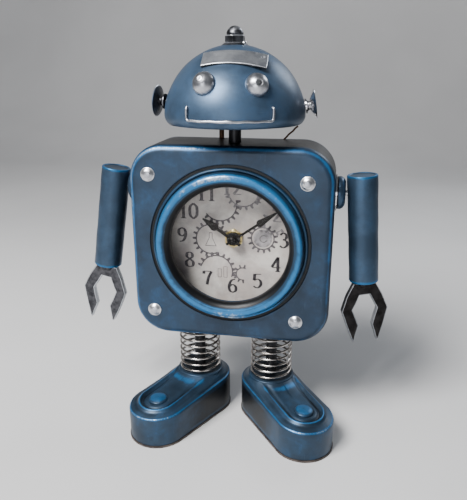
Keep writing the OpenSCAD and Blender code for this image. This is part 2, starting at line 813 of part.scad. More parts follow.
module leg_spring(side) color(bright_steel) leg_place(side) {
  n = spring_turns * spring_steps;
  points = [for (i = [0:n], p = coil_ring(i / spring_steps)) p];
  sides = [for (i = [0:n - 1], k = [0:5])
    [6 * i + k, 6 * i + (k + 1) % 6, 6 * i + 6 + (k + 1) % 6, 6 * i + 6 + k]];
  ends = [[5, 4, 3, 2, 1, 0], [for (k = [0:5]) 6 * n + k]];
  polyhedron(points = points, faces = concat(sides, ends), convexity = 10);
}

module leg_spring_left() leg_spring(-1);

module leg_spring_right() leg_spring(1);

// Foot frame at the ankle, with the toe towards -Y
module in_foot(side) leg_place(side)
  rotate([0, 0, side < 0 ? -foot_turn_left : foot_turn_right]) children();

module foot_outline(r) {
  translate([0, heel_y]) circle(r);
  translate([0, -foot_l]) circle(r);
  translate([-r, -foot_l]) square([2 * r, foot_l + heel_y]);
}

// Everything above the foot's sloping top, raised by lift
module above_foot(lift) {
  slope = atan2(heel_z - toe_z, foot_l + heel_y);
  translate([0, -foot_l, toe_z + lift]) rotate([slope, 0, 0])
    translate([-40, -40, 0]) cube([80, 140, 60]);
}

module foot(side) color(blue) in_foot(side) difference() {
  union() {
    difference() {
      translate([0, 0, sole_t]) linear_extrude(40) foot_outline(foot_r);
      above_foot(0);
    }
    difference() {
      translate([0, 0, sole_t]) linear_extrude(40) difference() {
        foot_outline(foot_r - ridge_inset + ridge_w);
        foot_outline(foot_r - ridge_inset);
      }
      above_foot(ridge_h);
    }
    difference() {
      translate([0, 0, sole_t]) linear_extrude(40) foot_outline(foot_r - ridge_inset);
      above_foot(channel_h);
    }
    translate([0, 0, toe_z - 4]) cylinder(h = ankle_z - toe_z + 4, r1 = ankle_r + 2, r2 = ankle_r);
    translate([0, -foot_l, sole_t]) cylinder(h = toe_z + button_h - sole_t, r = button_r);
  }
  difference() {
    translate([0, 0, sole_t - 0.01]) linear_extrude(heel_z - foot_wall - sole_t - 5)
      foot_outline(foot_r - foot_wall);
    translate([0, 0, 12]) cylinder(h = 20, r = 8);
  }
  translate([0, 0, -1]) cylinder(h = 40, r = leg_rod_r + run);
}

module foot_left() foot(-1);

module foot_right() foot(1);

module sole(side) color(black_steel) in_foot(side) linear_extrude(sole_t) foot_outline(foot_r + sole_lip);

module sole_left() sole(-1);

module sole_right() sole(1);

body_shell();
back_cover();
bezel_ring();
dial_glass();
glass_gasket();
dial_plate();
corner_rivets();
corner_posts();
back_screws();
movement_nut();
movement_front_case();
movement_back_case();
gear_bridge();
circuit_board();
motor_coil();
motor_stator();
battery();
battery_contacts();
neck_rod();
neck_sleeve();
neck_nuts();
finial_collar();
acorn_nut();
rear_post();
neck_lead();
leg_rod_left();
leg_rod_right();
leg_nuts();
leg_spring_left();
leg_spring_right();
spring_washers();
shoulder_boss_left();
shoulder_boss_right();
shoulder_bolt_left();
shoulder_bolt_right();
shoulder_washers();
shoulder_nuts();
head_dome();
head_base_plate();
brow_plate();
eye_left();
eye_right();
mouth_wire();
ear_left();
ear_right();
minute_hand();
minute_arbor();
hand_cap();
hour_hand();
hour_wheel();
motion_wheel();
setting_knob();
arm_tube_left();
arm_tube_right();
claw_left();
claw_right();
foot_left();
foot_right();
sole_left();
sole_right();
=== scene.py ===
"""Looks of the robot table clock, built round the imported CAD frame. Lengths are in millimetres."""

import math
import random

import bmesh
import bpy
from mathutils import Matrix, Vector, noise


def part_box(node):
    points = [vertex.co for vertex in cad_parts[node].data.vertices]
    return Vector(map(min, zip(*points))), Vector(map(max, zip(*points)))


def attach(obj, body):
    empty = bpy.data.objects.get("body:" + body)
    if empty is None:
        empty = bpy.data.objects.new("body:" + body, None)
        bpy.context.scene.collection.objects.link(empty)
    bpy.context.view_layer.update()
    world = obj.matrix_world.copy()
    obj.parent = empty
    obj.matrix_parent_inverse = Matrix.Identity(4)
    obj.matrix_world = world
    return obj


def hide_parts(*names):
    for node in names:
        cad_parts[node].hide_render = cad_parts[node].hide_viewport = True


MM = 0.001
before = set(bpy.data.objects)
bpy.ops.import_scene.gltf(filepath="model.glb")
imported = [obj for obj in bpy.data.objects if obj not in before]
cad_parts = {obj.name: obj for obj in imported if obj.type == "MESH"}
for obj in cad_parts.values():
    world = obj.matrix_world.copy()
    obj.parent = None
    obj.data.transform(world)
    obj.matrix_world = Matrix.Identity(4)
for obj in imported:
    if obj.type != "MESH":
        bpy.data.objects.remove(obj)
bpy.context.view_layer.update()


# ---------------------------------------------------------------- places taken from the frame


def box_mm(node):
    lo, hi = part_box(node)
    return lo / MM, hi / MM


def middle(node):
    lo, hi = box_mm(node)
    return (lo + hi) / 2


SHELL_LO, SHELL_HI = box_mm("body_shell")
CX = (SHELL_LO.x + SHELL_HI.x) / 2
FRONT_Y = SHELL_LO.y
BODY_MID_Z = (SHELL_LO.z + SHELL_HI.z) / 2
BODY_Z = middle("dial_plate").z
BODY_W = SHELL_HI.x - SHELL_LO.x
BODY_H = SHELL_HI.z - SHELL_LO.z
SHELL_BACK_Y = SHELL_HI.y
BACK_Y = box_mm("back_cover")[1].y
WALL = 1.6
CORNER_R = 20
EDGE_R = 4.5
TOP_Z = SHELL_HI.z
CY = FRONT_Y + 20
DIAL_Y = box_mm("dial_plate")[0].y

DIAL_R = 34.5
RING_R = 45.2
RIVETS = [(-46.6, 40.3), (43.4, 38), (-46.2, -43), (39.6, -44.5)]

HEAD_R = 39.6
HEAD_H = 42
HEAD_Z = box_mm("head_dome")[0].z
HEAD_TURN = math.radians(5.3)
SKIRT = 4.5
RIM_IN = 2.2
SHOULDER_R = 30
SHOULDER_X = HEAD_R - SHOULDER_R
CROWN_R = (SHOULDER_X**2 + (HEAD_H - SKIRT) ** 2 - SHOULDER_R**2) / (2 * (HEAD_H - SKIRT - SHOULDER_R))
CROWN_Z = HEAD_Z + HEAD_H - CROWN_R

SIDES = {"left": -1, "right": 1}
LEAN = {"left": math.radians(9.2), "right": math.radians(4.7)}
FOOT_TURN = {"left": math.radians(28.6), "right": math.radians(36.4)}
ARM_R = 8.6
ARM_LEN = 63.6
FOOT_R = 18
FOOT_L = 39.6
HEEL_Y = 2.6
TOE_Z = 20.8
HEEL_Z = 23.4
ANKLE_Z = box_mm("foot_left")[1].z
ANKLE_R = 14.6

TURN_CLOCKWISE = -1


# ---------------------------------------------------------------- mesh helpers


def mesh_object(name, verts, faces, wear=None, sharp=35):
    """Closed mesh from millimetre points. wear holds a number per point: 1 is rubbed bare, -1 is dirty; some
    pieces also carry painted highlights and painted shade in it.
    """
    mesh = bpy.data.meshes.new(name)
    mesh.from_pydata([Vector(v) * MM for v in verts], [], faces)
    if wear is not None:
        attribute = mesh.attributes.new("wear", "FLOAT", "POINT")
        attribute.data.foreach_set("value", wear)
    bm = bmesh.new()
    bm.from_mesh(mesh)
    bmesh.ops.recalc_face_normals(bm, faces=bm.faces)
    bm.to_mesh(mesh)
    bm.free()
    mesh.shade_smooth()
    mesh.set_sharp_from_angle(angle=math.radians(sharp))
    obj = bpy.data.objects.new(name, mesh)
    bpy.context.scene.collection.objects.link(obj)
    return obj


def loft(name, rows, closed_rows=False, wear=None, sharp=35, wobble=0.0, wobble_size=12):
    """Skins closed rows of points. Open ends are capped. wear holds a number per row, or a list per row."""
    n = len(rows[0])
    verts, worn = [], []
    for i, row in enumerate(rows):
        for j, p in enumerate(row):
            p = Vector(p)
            if wobble:
                p = p + wobble * noise.noise_vector(p / wobble_size)
            verts.append(p)
            w = wear[i] if wear else 0.0
            worn.append(w[j] if isinstance(w, (list, tuple)) else w)
    faces = []
    count = len(rows) if closed_rows else len(rows) - 1
    for i in range(count):
        a, b = i * n, (i + 1) % len(rows) * n
        for j in range(n):
            k = (j + 1) % n
            faces.append((a + j, a + k, b + k, b + j))
    if not closed_rows:
        faces.append(tuple(range(n - 1, -1, -1)))
        faces.append(tuple((len(rows) - 1) * n + j for j in range(n)))
    return mesh_object(name, verts, faces, worn, sharp)


def frame_at(origin, axis, x_hint=(0, 0, 1)):
    """Matrix whose Z runs along axis, with its X towards x_hint."""
    z = Vector(axis).normalized()
    x = Vector(x_hint)
    if abs(x.normalized().dot(z)) > 0.99:
        x = Vector((1, 0, 0))
    x = (x - z * x.dot(z)).normalized()
    y = z.cross(x)
    m = Matrix((x, y, z)).transposed().to_4x4()
    m.translation = Vector(origin)
    return m


def lathe(name, matrix, profile, closed=False, steps=72, radius=None, rub=None, **more):
    """Turns (radius, height, wear) points about Z. radius(angle, r, h) and rub(angle, wear) change them."""
    rows, wear = [], []
    for p in profile:
        r, h = max(p[0], 0.02), p[1]
        w = p[2] if len(p) > 2 else 0.0
        wear.append([rub(2 * math.pi * j / steps, w) for j in range(steps)] if rub else w)
        row = []
        for j in range(steps):
            a = 2 * math.pi * j / steps
            rr = radius(a, r, h) if radius else r
            row.append(matrix @ Vector((rr * math.cos(a), rr * math.sin(a), h)))
        rows.append(row)
    return loft(name, rows, closed_rows=closed, wear=wear, **more)


def arc(cx, cy, r, start, end, steps, wear=0.0):
    """Points on an arc from start to end degrees, as (x, y, wear)."""
    return [
        (
            cx + r * math.cos(math.radians(start + (end - start) * k / steps)),
            cy + r * math.sin(math.radians(start + (end - start) * k / steps)),
            wear,
        )
        for k in range(steps + 1)
    ]


def soften(profile, rounding=0.4, steps=3):
    """Rounds a (radius, height, wear) profile with small arcs. A corner may give its own rounding."""
    out = [profile[0]]
    for a, b, c in zip(profile, profile[1:], profile[2:]):
        r = b[3] if len(b) > 3 else rounding
        pa, pb, pc = Vector(a[:2]), Vector(b[:2]), Vector(c[:2])
        u, v = (pa - pb), (pc - pb)
        cut = min(r, u.length * 0.45, v.length * 0.45)
        if cut < 1e-4:
            out.append(b)
            continue
        u.normalize()
        v.normalize()
        for k in range(steps + 1):
            t = k / steps
            q = (1 - t) ** 2 * (pb + u * cut) + 2 * t * (1 - t) * pb + t**2 * (pb + v * cut)
            out.append((q.x, q.y, b[2]))
    out.append(profile[-1])
    return out


def sweep(name, path, radius, sides=12, **more):
    """Round tube along a path. radius is a number or a function of the share along the path."""
    pts = [Vector(p) for p in path]
    rows = []
    tangent = (pts[1] - pts[0]).normalized()
    normal = tangent.orthogonal().normalized()
    for i, p in enumerate(pts):
        new = (pts[min(i + 1, len(pts) - 1)] - pts[max(i - 1, 0)]).normalized()
        normal = (normal - new * normal.dot(new)).normalized()
        side = new.cross(normal)
        r = radius(i / (len(pts) - 1)) if callable(radius) else radius
        rows.append(
            [
                p + r * (
                    math.cos(2 * math.pi * k / sides) * normal + math.sin(2 * math.pi * k / sides) * side
                )
                for k in range(sides)
            ]
        )
    return loft(name, rows, **more)


def prism(name, outline, matrix, thickness, bevel=0.3, segments=2, wear_edges=True):
    """Flat outline raised by thickness along the matrix's Z, with bevelled edges."""
    bm = bmesh.new()
    low = [bm.verts.new(matrix @ Vector((x, y, 0))) for x, y in outline]
    high = [bm.verts.new(matrix @ Vector((x, y, thickness))) for x, y in outline]
    bm.faces.new(low)
    bm.faces.new(high)
    n = len(outline)
    for i in range(n):
        bm.faces.new((low[i], low[(i + 1) % n], high[(i + 1) % n], high[i]))
    bmesh.ops.recalc_face_normals(bm, faces=bm.faces)
    layer = bm.verts.layers.float.new("wear")
    if bevel:
        edges = [e for e in bm.edges if e.calc_face_angle(0) > math.radians(25)]
        made = bmesh.ops.bevel(
            bm, geom=edges, offset=bevel, segments=segments, profile=0.5, affect="EDGES", clamp_overlap=True
        )
        if wear_edges:
            for v in made["verts"]:
                v[layer] = 0.85
            up = matrix.to_3x3() @ Vector((0, 0, 1))
            bm.normal_update()
            caps = [f for f in bm.faces if len(f.verts) > 4 and abs(f.normal.dot(up)) > 0.99]
            bmesh.ops.inset_individual(bm, faces=caps, thickness=0.3)
            for v in {v for f in caps for v in f.verts}:
                v[layer] = 0.0
    bmesh.ops.triangulate(bm, faces=[f for f in bm.faces if len(f.verts) > 4])
    bmesh.ops.scale(bm, vec=(MM, MM, MM), verts=bm.verts)
    mesh = bpy.data.meshes.new(name)
    bm.to_mesh(mesh)
    bm.free()
    mesh.shade_smooth()
    mesh.set_sharp_from_angle(angle=math.radians(30))
    obj = bpy.data.objects.new(name, mesh)
    bpy.context.scene.collection.objects.link(obj)
    return obj


def rounded_square(w, h, r, inset=0.0, steps=16, straight=14, drop=0.0):
    """Square with round corners, moved in by inset and down by drop. Its points match for any inset."""
    hw, hh = w / 2 - r, h / 2 - r
    rr = max(r - inset, 0.3)
    if inset > r - 0.3:
        hw, hh = hw - (inset - r + 0.3), hh - (inset - r + 0.3)
    out = []
    corners = [(hw, hh, 0), (-hw, hh, 90), (-hw, -hh, 180), (hw, -hh, 270)]
    for i, (x, z, a0) in enumerate(corners):
        for k in range(steps + 1):
            a = math.radians(a0 + 90 * k / steps)
            out.append((x + rr * math.cos(a), z + rr * math.sin(a)))
        nx, nz, na = corners[(i + 1) % 4]
        start = out[-1]
        a = math.radians(na)
        end = (nx + rr * math.cos(a), nz + rr * math.sin(a))
        for k in range(1, straight):
            t = k / straight
            out.append((start[0] + (end[0] - start[0]) * t, start[1] + (end[1] - start[1]) * t))
    return [(x, z - drop) for x, z in out]


def body_outline(inset=0.0):
    """Outline of the body about the dial's middle, which stands a little above the body's own middle."""
    return rounded_square(BODY_W, BODY_H, CORNER_R, inset, drop=BODY_Z - BODY_MID_Z)


def hill(x, centre, width):
    """1 at the centre, falling smoothly to 0 over about twice the width."""
    return math.exp(-(((x - centre) / width) ** 2))


def smooth_step(x, a, b):
    t = min(max((x - a) / (b - a), 0.0), 1.0)
    return t * t * (3 - 2 * t)


def finish_piece(obj, body, material, *nodes, slot=None):
    obj.data.materials.clear()
    obj.data.materials.append(material)
    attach(obj, body)
    if nodes:
        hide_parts(*nodes)
    return obj


# ---------------------------------------------------------------- materials


class Graph:
    """Small helper for writing a node tree."""

    def __init__(self, name):
        self.material = bpy.data.materials.new(name)
        self.material.use_nodes = True
        self.tree = self.material.node_tree
        self.tree.nodes.clear()
        self.out = self.tree.nodes.new("ShaderNodeOutputMaterial")
        self.shader = self.tree.nodes.new("ShaderNodeBsdfPrincipled")
        self.link(self.shader.outputs[0], self.out.inputs[0])
        self.coords = self.tree.nodes.new("ShaderNodeTexCoord").outputs["Object"]

    def link(self, a, b):
        self.tree.links.new(a, b)

    def set(self, **values):
        for key, value in values.items():
            self.shader.inputs[key.replace("_", " ")].default_value = value

    def stretched(self, scale, turn=(0, 0, 0)):
        node = self.tree.nodes.new("ShaderNodeMapping")
        node.inputs["Scale"].default_value = scale
        node.inputs["Rotation"].default_value = turn
        self.link(self.coords, node.inputs["Vector"])
        return node.outputs[0]

    def noise(self, scale, detail=4, rough=0.55, vector=None, distortion=0.0):
        node = self.tree.nodes.new("ShaderNodeTexNoise")
        node.inputs["Scale"].default_value = scale
        node.inputs["Detail"].default_value = detail
        node.inputs["Roughness"].default_value = rough
        node.inputs["Distortion"].default_value = distortion
        self.link(vector or self.coords, node.inputs["Vector"])
        return node.outputs["Fac"]

    def cells(self, scale):
        node = self.tree.nodes.new("ShaderNodeTexVoronoi")
        node.inputs["Scale"].default_value = scale
        self.link(self.coords, node.inputs["Vector"])
        return node.outputs["Distance"]

    def math(self, kind, a, b=0.0, clamp=False):
        node = self.tree.nodes.new("ShaderNodeMath")
        node.operation = kind
        node.use_clamp = clamp
        for socket, value in zip(node.inputs, (a, b)):
            if isinstance(value, (int, float)):
                socket.default_value = value
            else:
                self.link(value, socket)
        return node.outputs[0]

    def ramp(self, value, low, high, smooth=True):
        """0 below low and 1 above high."""
        node = self.tree.nodes.new("ShaderNodeMapRange")
        node.interpolation_type = "SMOOTHSTEP" if smooth else "LINEAR"
        node.inputs["From Min"].default_value = low
        node.inputs["From Max"].default_value = high
        self.link(value, node.inputs["Value"])
        return node.outputs[0]

    def span(self, value, low, high):
        """Maps 0..1 onto low..high."""
        node = self.tree.nodes.new("ShaderNodeMapRange")
        node.inputs["To Min"].default_value = low
        node.inputs["To Max"].default_value = high
        self.link(value, node.inputs["Value"])
        return node.outputs[0]

    def mix(self, factor, a, b):
        node = self.tree.nodes.new("ShaderNodeMix")
        node.data_type = "RGBA"
        sockets = [node.inputs[0], node.inputs[6], node.inputs[7]]
        for socket, value in zip(sockets, (factor, a, b)):
            if isinstance(value, (int, float)):
                socket.default_value = value
            elif isinstance(value, (tuple, list)):
                socket.default_value = (*value, 1.0)
            else:
                self.link(value, socket)
        return node.outputs[2]

    def attribute(self, name):
        node = self.tree.nodes.new("ShaderNodeAttribute")
        node.attribute_name = name
        return node.outputs["Fac"]

    def colour(self, value):
        self.link(value, self.shader.inputs["Base Color"])

    def rough(self, value):
        self.link(value, self.shader.inputs["Roughness"])

    def metallic(self, value):
        self.link(value, self.shader.inputs["Metallic"])

    def bump(self, height, strength, distance=0.0002):
        node = self.tree.nodes.new("ShaderNodeBump")
        node.inputs["Strength"].default_value = strength
        node.inputs["Distance"].default_value = distance
        self.link(height, node.inputs["Height"])
        self.link(node.outputs[0], self.shader.inputs["Normal"])


def scaled(colour, factor):
    return tuple(min(1, factor * c) for c in colour)


def distressed_blue(
    name, base, bright=(0.016, 0.130, 0.300), silver=(0.42, 0.50, 0.60), grain=(1, 0.08, 1), sheen=0.5
):
    """Dark blue paint brushed over steel: bright blue and bare silver on worn edges and on painted
    highlights, black for dirt and for painted shade.
    """
    g = Graph(name)
    worn = g.attribute("wear")
    cloud = g.noise(38, detail=5, rough=0.6)
    patch = g.noise(95, detail=6, rough=0.65, distortion=0.4)
    streak = g.noise(1500, detail=3, rough=0.7, vector=g.stretched(grain))
    fine = g.noise(4200, detail=2, vector=g.stretched((grain[2], grain[0], grain[1])))
    deep = scaled(base, 0.55)
    paint = g.mix(g.ramp(cloud, 0.36, 0.66), deep, base)
    lifted = g.mix(g.ramp(patch, 0.42, 0.74), base, tuple(0.5 * b + 0.5 * c for b, c in zip(base, bright)))
    paint = g.mix(g.span(g.ramp(cloud, 0.40, 0.70), 0.10, 0.60), paint, lifted)
    scratched = g.math("MULTIPLY", g.ramp(streak, 0.60, 0.80), g.ramp(patch, 0.38, 0.62))
    paint = g.mix(g.math("MULTIPLY", scratched, 0.25), paint, (0.16, 0.23, 0.30))
    # high wear values give bright blue and bare silver: worn edges, and painted highlights where a piece puts
    # them into the wear value
    edge = g.math("ADD", worn, g.span(patch, -0.42, 0.42))
    edge = g.math("ADD", edge, g.span(streak, -0.16, 0.16))
    paint = g.mix(g.ramp(edge, 0.34, 0.86), paint, bright)
    rubbed = g.math("ADD", edge, g.span(streak, -0.40, 0.40))
    bare = g.ramp(rubbed, 0.98, 1.40)
    paint = g.mix(bare, paint, silver)
    # low wear values give near black: dirt, and painted shade where a piece puts it into the wear value
    dirt_and_shade = g.ramp(g.math("ADD", worn, g.span(patch, -0.30, 0.30)), -0.20, -0.80)
    paint = g.mix(dirt_and_shade, paint, (0.004, 0.005, 0.007))
    g.colour(paint)
    g.rough(
        g.span(g.math("ADD", g.math("MULTIPLY", streak, 0.5), g.math("MULTIPLY", patch, 0.5)), 0.26, 0.54)
    )
    g.metallic(g.span(bare, sheen, 0.95))
    g.bump(g.math("ADD", g.math("MULTIPLY", streak, 0.6), g.math("MULTIPLY", fine, 0.25)), 0.18, 0.00012)
    return g.material


def metal(
    name, base, dark, rough=(0.22, 0.42), grain=(1, 1, 1), pits=0.15, worn_to=None, scale=900, metallic=1.0,
    patch=160, bump=0.1
):
    """Bare or plated metal with cloudy tone, grain and pits."""
    g = Graph(name)
    cloud = g.noise(patch, detail=5, rough=0.62)
    streak = g.noise(scale, detail=3, rough=0.65, vector=g.stretched(grain))
    tone = g.mix(g.ramp(cloud, 0.32, 0.68), dark, base)
    tone = g.mix(g.math("MULTIPLY", g.ramp(streak, 0.55, 0.80), 0.35), tone, scaled(base, 1.25))
    spots = g.ramp(g.cells(1400), 0.16, 0.06)
    pitted = g.math("MULTIPLY", g.math("MULTIPLY", spots, g.ramp(cloud, 0.45, 0.6)), pits)
    tone = g.mix(pitted, tone, scaled(dark, 0.2))
    if worn_to:
        worn = g.attribute("wear")
        edge = g.math("ADD", worn, g.span(cloud, -0.35, 0.35))
        tone = g.mix(g.ramp(edge, 0.45, 0.85), tone, worn_to)
        tone = g.mix(g.ramp(edge, -0.35, -0.85), tone, scaled(dark, 0.12))
    g.colour(tone)
    g.rough(g.span(g.math("ADD", g.math("MULTIPLY", streak, 0.5), g.math("MULTIPLY", cloud, 0.5)), *rough))
    g.set(Metallic=metallic)
    g.bump(
        g.math("ADD", g.math("MULTIPLY", streak, 0.5), g.math("MULTIPLY", g.cells(1400), 0.3)), bump,
        0.00015
    )
    return g.material


def plastic(name, base, rough=(0.38, 0.55), speck=0.15):
    g = Graph(name)
    cloud = g.noise(240, detail=4)
    grain = g.noise(3600, detail=2)
    tone = g.mix(g.ramp(cloud, 0.35, 0.7), scaled(base, 0.8), base)
    specks = g.math("MULTIPLY", g.ramp(grain, 0.55, 0.75), speck)
    g.colour(g.mix(specks, tone, tuple(1.4 * c + 0.02 for c in base)))
    g.rough(g.span(grain, *rough))
    g.bump(grain, 0.08, 0.00008)
    return g.material


def card(name):
    """Aged printed card of the dial, grey-violet stains on cream."""
    g = Graph(name)
    cloud = g.noise(52, detail=6, rough=0.62, distortion=0.5)
    mist = g.noise(130, detail=5, rough=0.6)
    fibre = g.noise(5200, detail=2, vector=g.stretched((1, 1, 0.3)))
    tone = g.mix(g.ramp(cloud, 0.36, 0.66), (0.60, 0.53, 0.49), (0.84, 0.80, 0.75))
    tone = g.mix(g.span(g.ramp(mist, 0.40, 0.72), 0, 0.5), tone, (0.42, 0.38, 0.39))
    g.colour(g.mix(g.math("MULTIPLY", fibre, 0.10), tone, (0.80, 0.78, 0.74)))
    g.rough(g.span(fibre, 0.60, 0.80))
    g.bump(fibre, 0.08, 0.00005)
    return g.material


def ink(name, tone, faded):
    g = Graph(name)
    wear = g.noise(700, detail=5, rough=0.7)
    g.colour(g.mix(g.ramp(wear, 0.40, 0.72), tone, faded))
    g.rough(g.span(wear, 0.55, 0.75))
    return g.material


def clear_glass(name):
    g = Graph(name)
    smear = g.noise(70, detail=5, rough=0.6)
    g.colour(g.mix(g.ramp(smear, 0.35, 0.7), (0.010, 0.012, 0.014), (0.030, 0.032, 0.036)))
    g.rough(g.span(smear, 0.03, 0.10))
    g.set(Alpha=0.07, IOR=1.5)
    g.material.use_backface_culling = False
    return g.material


def tinted_noise(name, colours, scale, rough, metallic=0.0):
    g = Graph(name)
    cloud = g.noise(scale, detail=6, rough=0.65, distortion=0.3)
    g.colour(g.mix(g.ramp(cloud, 0.35, 0.68), colours[0], colours[1]))
    g.rough(g.span(cloud, *rough))
    g.set(Metallic=metallic)
    g.bump(g.noise(scale * 14, detail=3), 0.12, 0.00012)
    return g.material


def shaded_disc(name):
    """Printed wheel face, shaded like a dished metal disc."""
    g = Graph(name)
    cloud = g.noise(210, detail=4, rough=0.5, distortion=0.8)
    g.colour(g.mix(g.ramp(cloud, 0.30, 0.72), (0.115, 0.100, 0.110), (0.52, 0.49, 0.50)))
    g.rough(g.span(cloud, 0.5, 0.7))
    return g.material


BODY_BLUE = distressed_blue(
    "body_blue", (0.014, 0.033, 0.064), (0.013, 0.105, 0.260), grain=(1, 1, 0.07), sheen=0.35
)
HEAD_BLUE = distressed_blue(
    "head_blue", (0.060, 0.105, 0.175), (0.016, 0.100, 0.260), grain=(0.07, 0.07, 1), sheen=0.55
)
ARM_BLUE = distressed_blue("arm_blue", (0.050, 0.088, 0.145), grain=(1, 1, 0.05), sheen=0.70)
FOOT_BLUE = distressed_blue(
    "foot_blue", (0.024, 0.047, 0.080), (0.014, 0.115, 0.280), grain=(1, 1, 0.06), sheen=0.5
)
RING_BLUE = distressed_blue(
    "ring_blue", (0.016, 0.050, 0.098), (0.016, 0.140, 0.330), grain=(0.25, 1, 0.25), sheen=0.45
)
BARE = metal(
    "bare_steel", (0.62, 0.63, 0.66), (0.36, 0.37, 0.41), rough=(0.24, 0.40), pits=0.5,
    worn_to=(0.85, 0.86, 0.88)
)
BROW = metal(
    "brow_steel", (0.62, 0.64, 0.68), (0.42, 0.44, 0.49), rough=(0.30, 0.48), grain=(0.06, 1, 1), pits=0.7,
    worn_to=(0.86, 0.88, 0.92), scale=1300
)
CHROME = metal(
    "polished_steel", (0.80, 0.80, 0.82), (0.50, 0.50, 0.53), rough=(0.12, 0.24), pits=0.0,
    worn_to=(0.90, 0.90, 0.92), bump=0.0
)
SPRING = metal(
    "spring_steel", (0.64, 0.61, 0.58), (0.26, 0.23, 0.21), rough=(0.12, 0.26), pits=0.2, bump=0.05
)
CLAW = metal(
    "claw_steel", (0.110, 0.110, 0.120), (0.035, 0.035, 0.040), rough=(0.34, 0.54), pits=0.5,
    worn_to=(0.55, 0.57, 0.60), scale=1500, patch=240, bump=0.35, grain=(1, 1, 0.12)
)
# darker copy of the claw steel for the claw at +X: painted shade on the side away from the light
CLAW_PAINTED_SHADE = metal(
    "claw_steel_painted_shade", (0.034, 0.032, 0.032), (0.014, 0.013, 0.013), rough=(0.36, 0.56), pits=0.5,
    worn_to=(0.30, 0.31, 0.33), scale=1500, patch=240, bump=0.35, grain=(1, 1, 0.12)
)
DARK = metal(
    "dark_steel", (0.170, 0.175, 0.195), (0.045, 0.046, 0.052), rough=(0.28, 0.46), pits=0.5,
    worn_to=(0.60, 0.62, 0.66), bump=0.25
)
BLACK = metal(
    "black_steel", (0.030, 0.030, 0.034), (0.012, 0.012, 0.014), rough=(0.30, 0.50), pits=0.2, metallic=0.6
)
PLAIN = metal("zinc_steel", (0.58, 0.59, 0.61), (0.40, 0.41, 0.43), rough=(0.25, 0.40), pits=0.3)
BRASS = metal(
    "brass", (0.76, 0.60, 0.26), (0.52, 0.38, 0.14), rough=(0.22, 0.40), pits=0.3,
    worn_to=(0.90, 0.78, 0.42)
)
COPPER = metal(
    "copper_wire", (0.60, 0.30, 0.16), (0.36, 0.16, 0.08), rough=(0.28, 0.42), grain=(1, 0.05, 0.05),
    scale=2600, bump=0.4
)
HAND = metal(
    "hand_steel", (0.022, 0.018, 0.016), (0.010, 0.009, 0.008), rough=(0.32, 0.50), pits=0.4, metallic=0.7
)
BROWN = tinted_noise("brown_oxide", [(0.050, 0.024, 0.012), (0.150, 0.070, 0.030)], 420, (0.45, 0.7), 0.35)
CASE = plastic("case_plastic", (0.020, 0.020, 0.022))
BOARD = tinted_noise("board_lacquer", [(0.010, 0.085, 0.035), (0.020, 0.150, 0.065)], 520, (0.25, 0.4))
RUBBER = plastic("gasket_rubber", (0.016, 0.016, 0.017), rough=(0.6, 0.8))
WRAP = tinted_noise("cell_wrap", [(0.020, 0.022, 0.028), (0.060, 0.064, 0.074)], 150, (0.22, 0.34))
CARD = card("dial_card")
INK = ink("dial_ink", (0.020, 0.016, 0.020), (0.070, 0.060, 0.068))
PRINT = ink("dial_print", (0.085, 0.072, 0.080), (0.220, 0.200, 0.210))
FADED = ink("dial_faded", (0.210, 0.190, 0.200), (0.420, 0.395, 0.400))
SHADED = shaded_disc("dial_shaded")
GLASS = clear_glass("dial_glass")
SOLE = metal(
    "sole_metal", (0.110, 0.090, 0.080), (0.040, 0.032, 0.030), rough=(0.40, 0.60), pits=0.4, metallic=0.5
)

CAD_LOOKS = [
    (GLASS, ["dial_glass"]),
    (RUBBER, ["glass_gasket"]),
    (CARD, ["dial_plate"]),
    (CASE, ["movement_front_case", "movement_back_case", "setting_knob"]),
    (PLAIN, ["corner_posts", "back_screws", "gear_bridge", "motor_stator", "neck_nuts", "leg_nuts"]),
    (PLAIN, ["shoulder_bolt_left", "shoulder_bolt_right", "shoulder_nuts"]),
    (BOARD, ["circuit_board"]),
    (COPPER, ["motor_coil"]),
    (WRAP, ["battery"]),
    (BRASS, ["battery_contacts", "minute_arbor", "hour_wheel", "motion_wheel"]),
    (BLACK, ["neck_rod", "neck_sleeve", "leg_rod_left", "leg_rod_right"]),
    (BROWN, ["rear_post"]),
    (DARK, ["spring_washers", "head_base_plate"]),
    (CHROME, ["shoulder_washers"]),
    (HAND, ["minute_hand", "hour_hand"]),
    (SOLE, ["sole_left", "sole_right"]),
]
for look, node_names in CAD_LOOKS:
    for node_name in node_names:
        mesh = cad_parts[node_name].data
        mesh.materials.clear()
        mesh.materials.append(look)


# ---------------------------------------------------------------- body


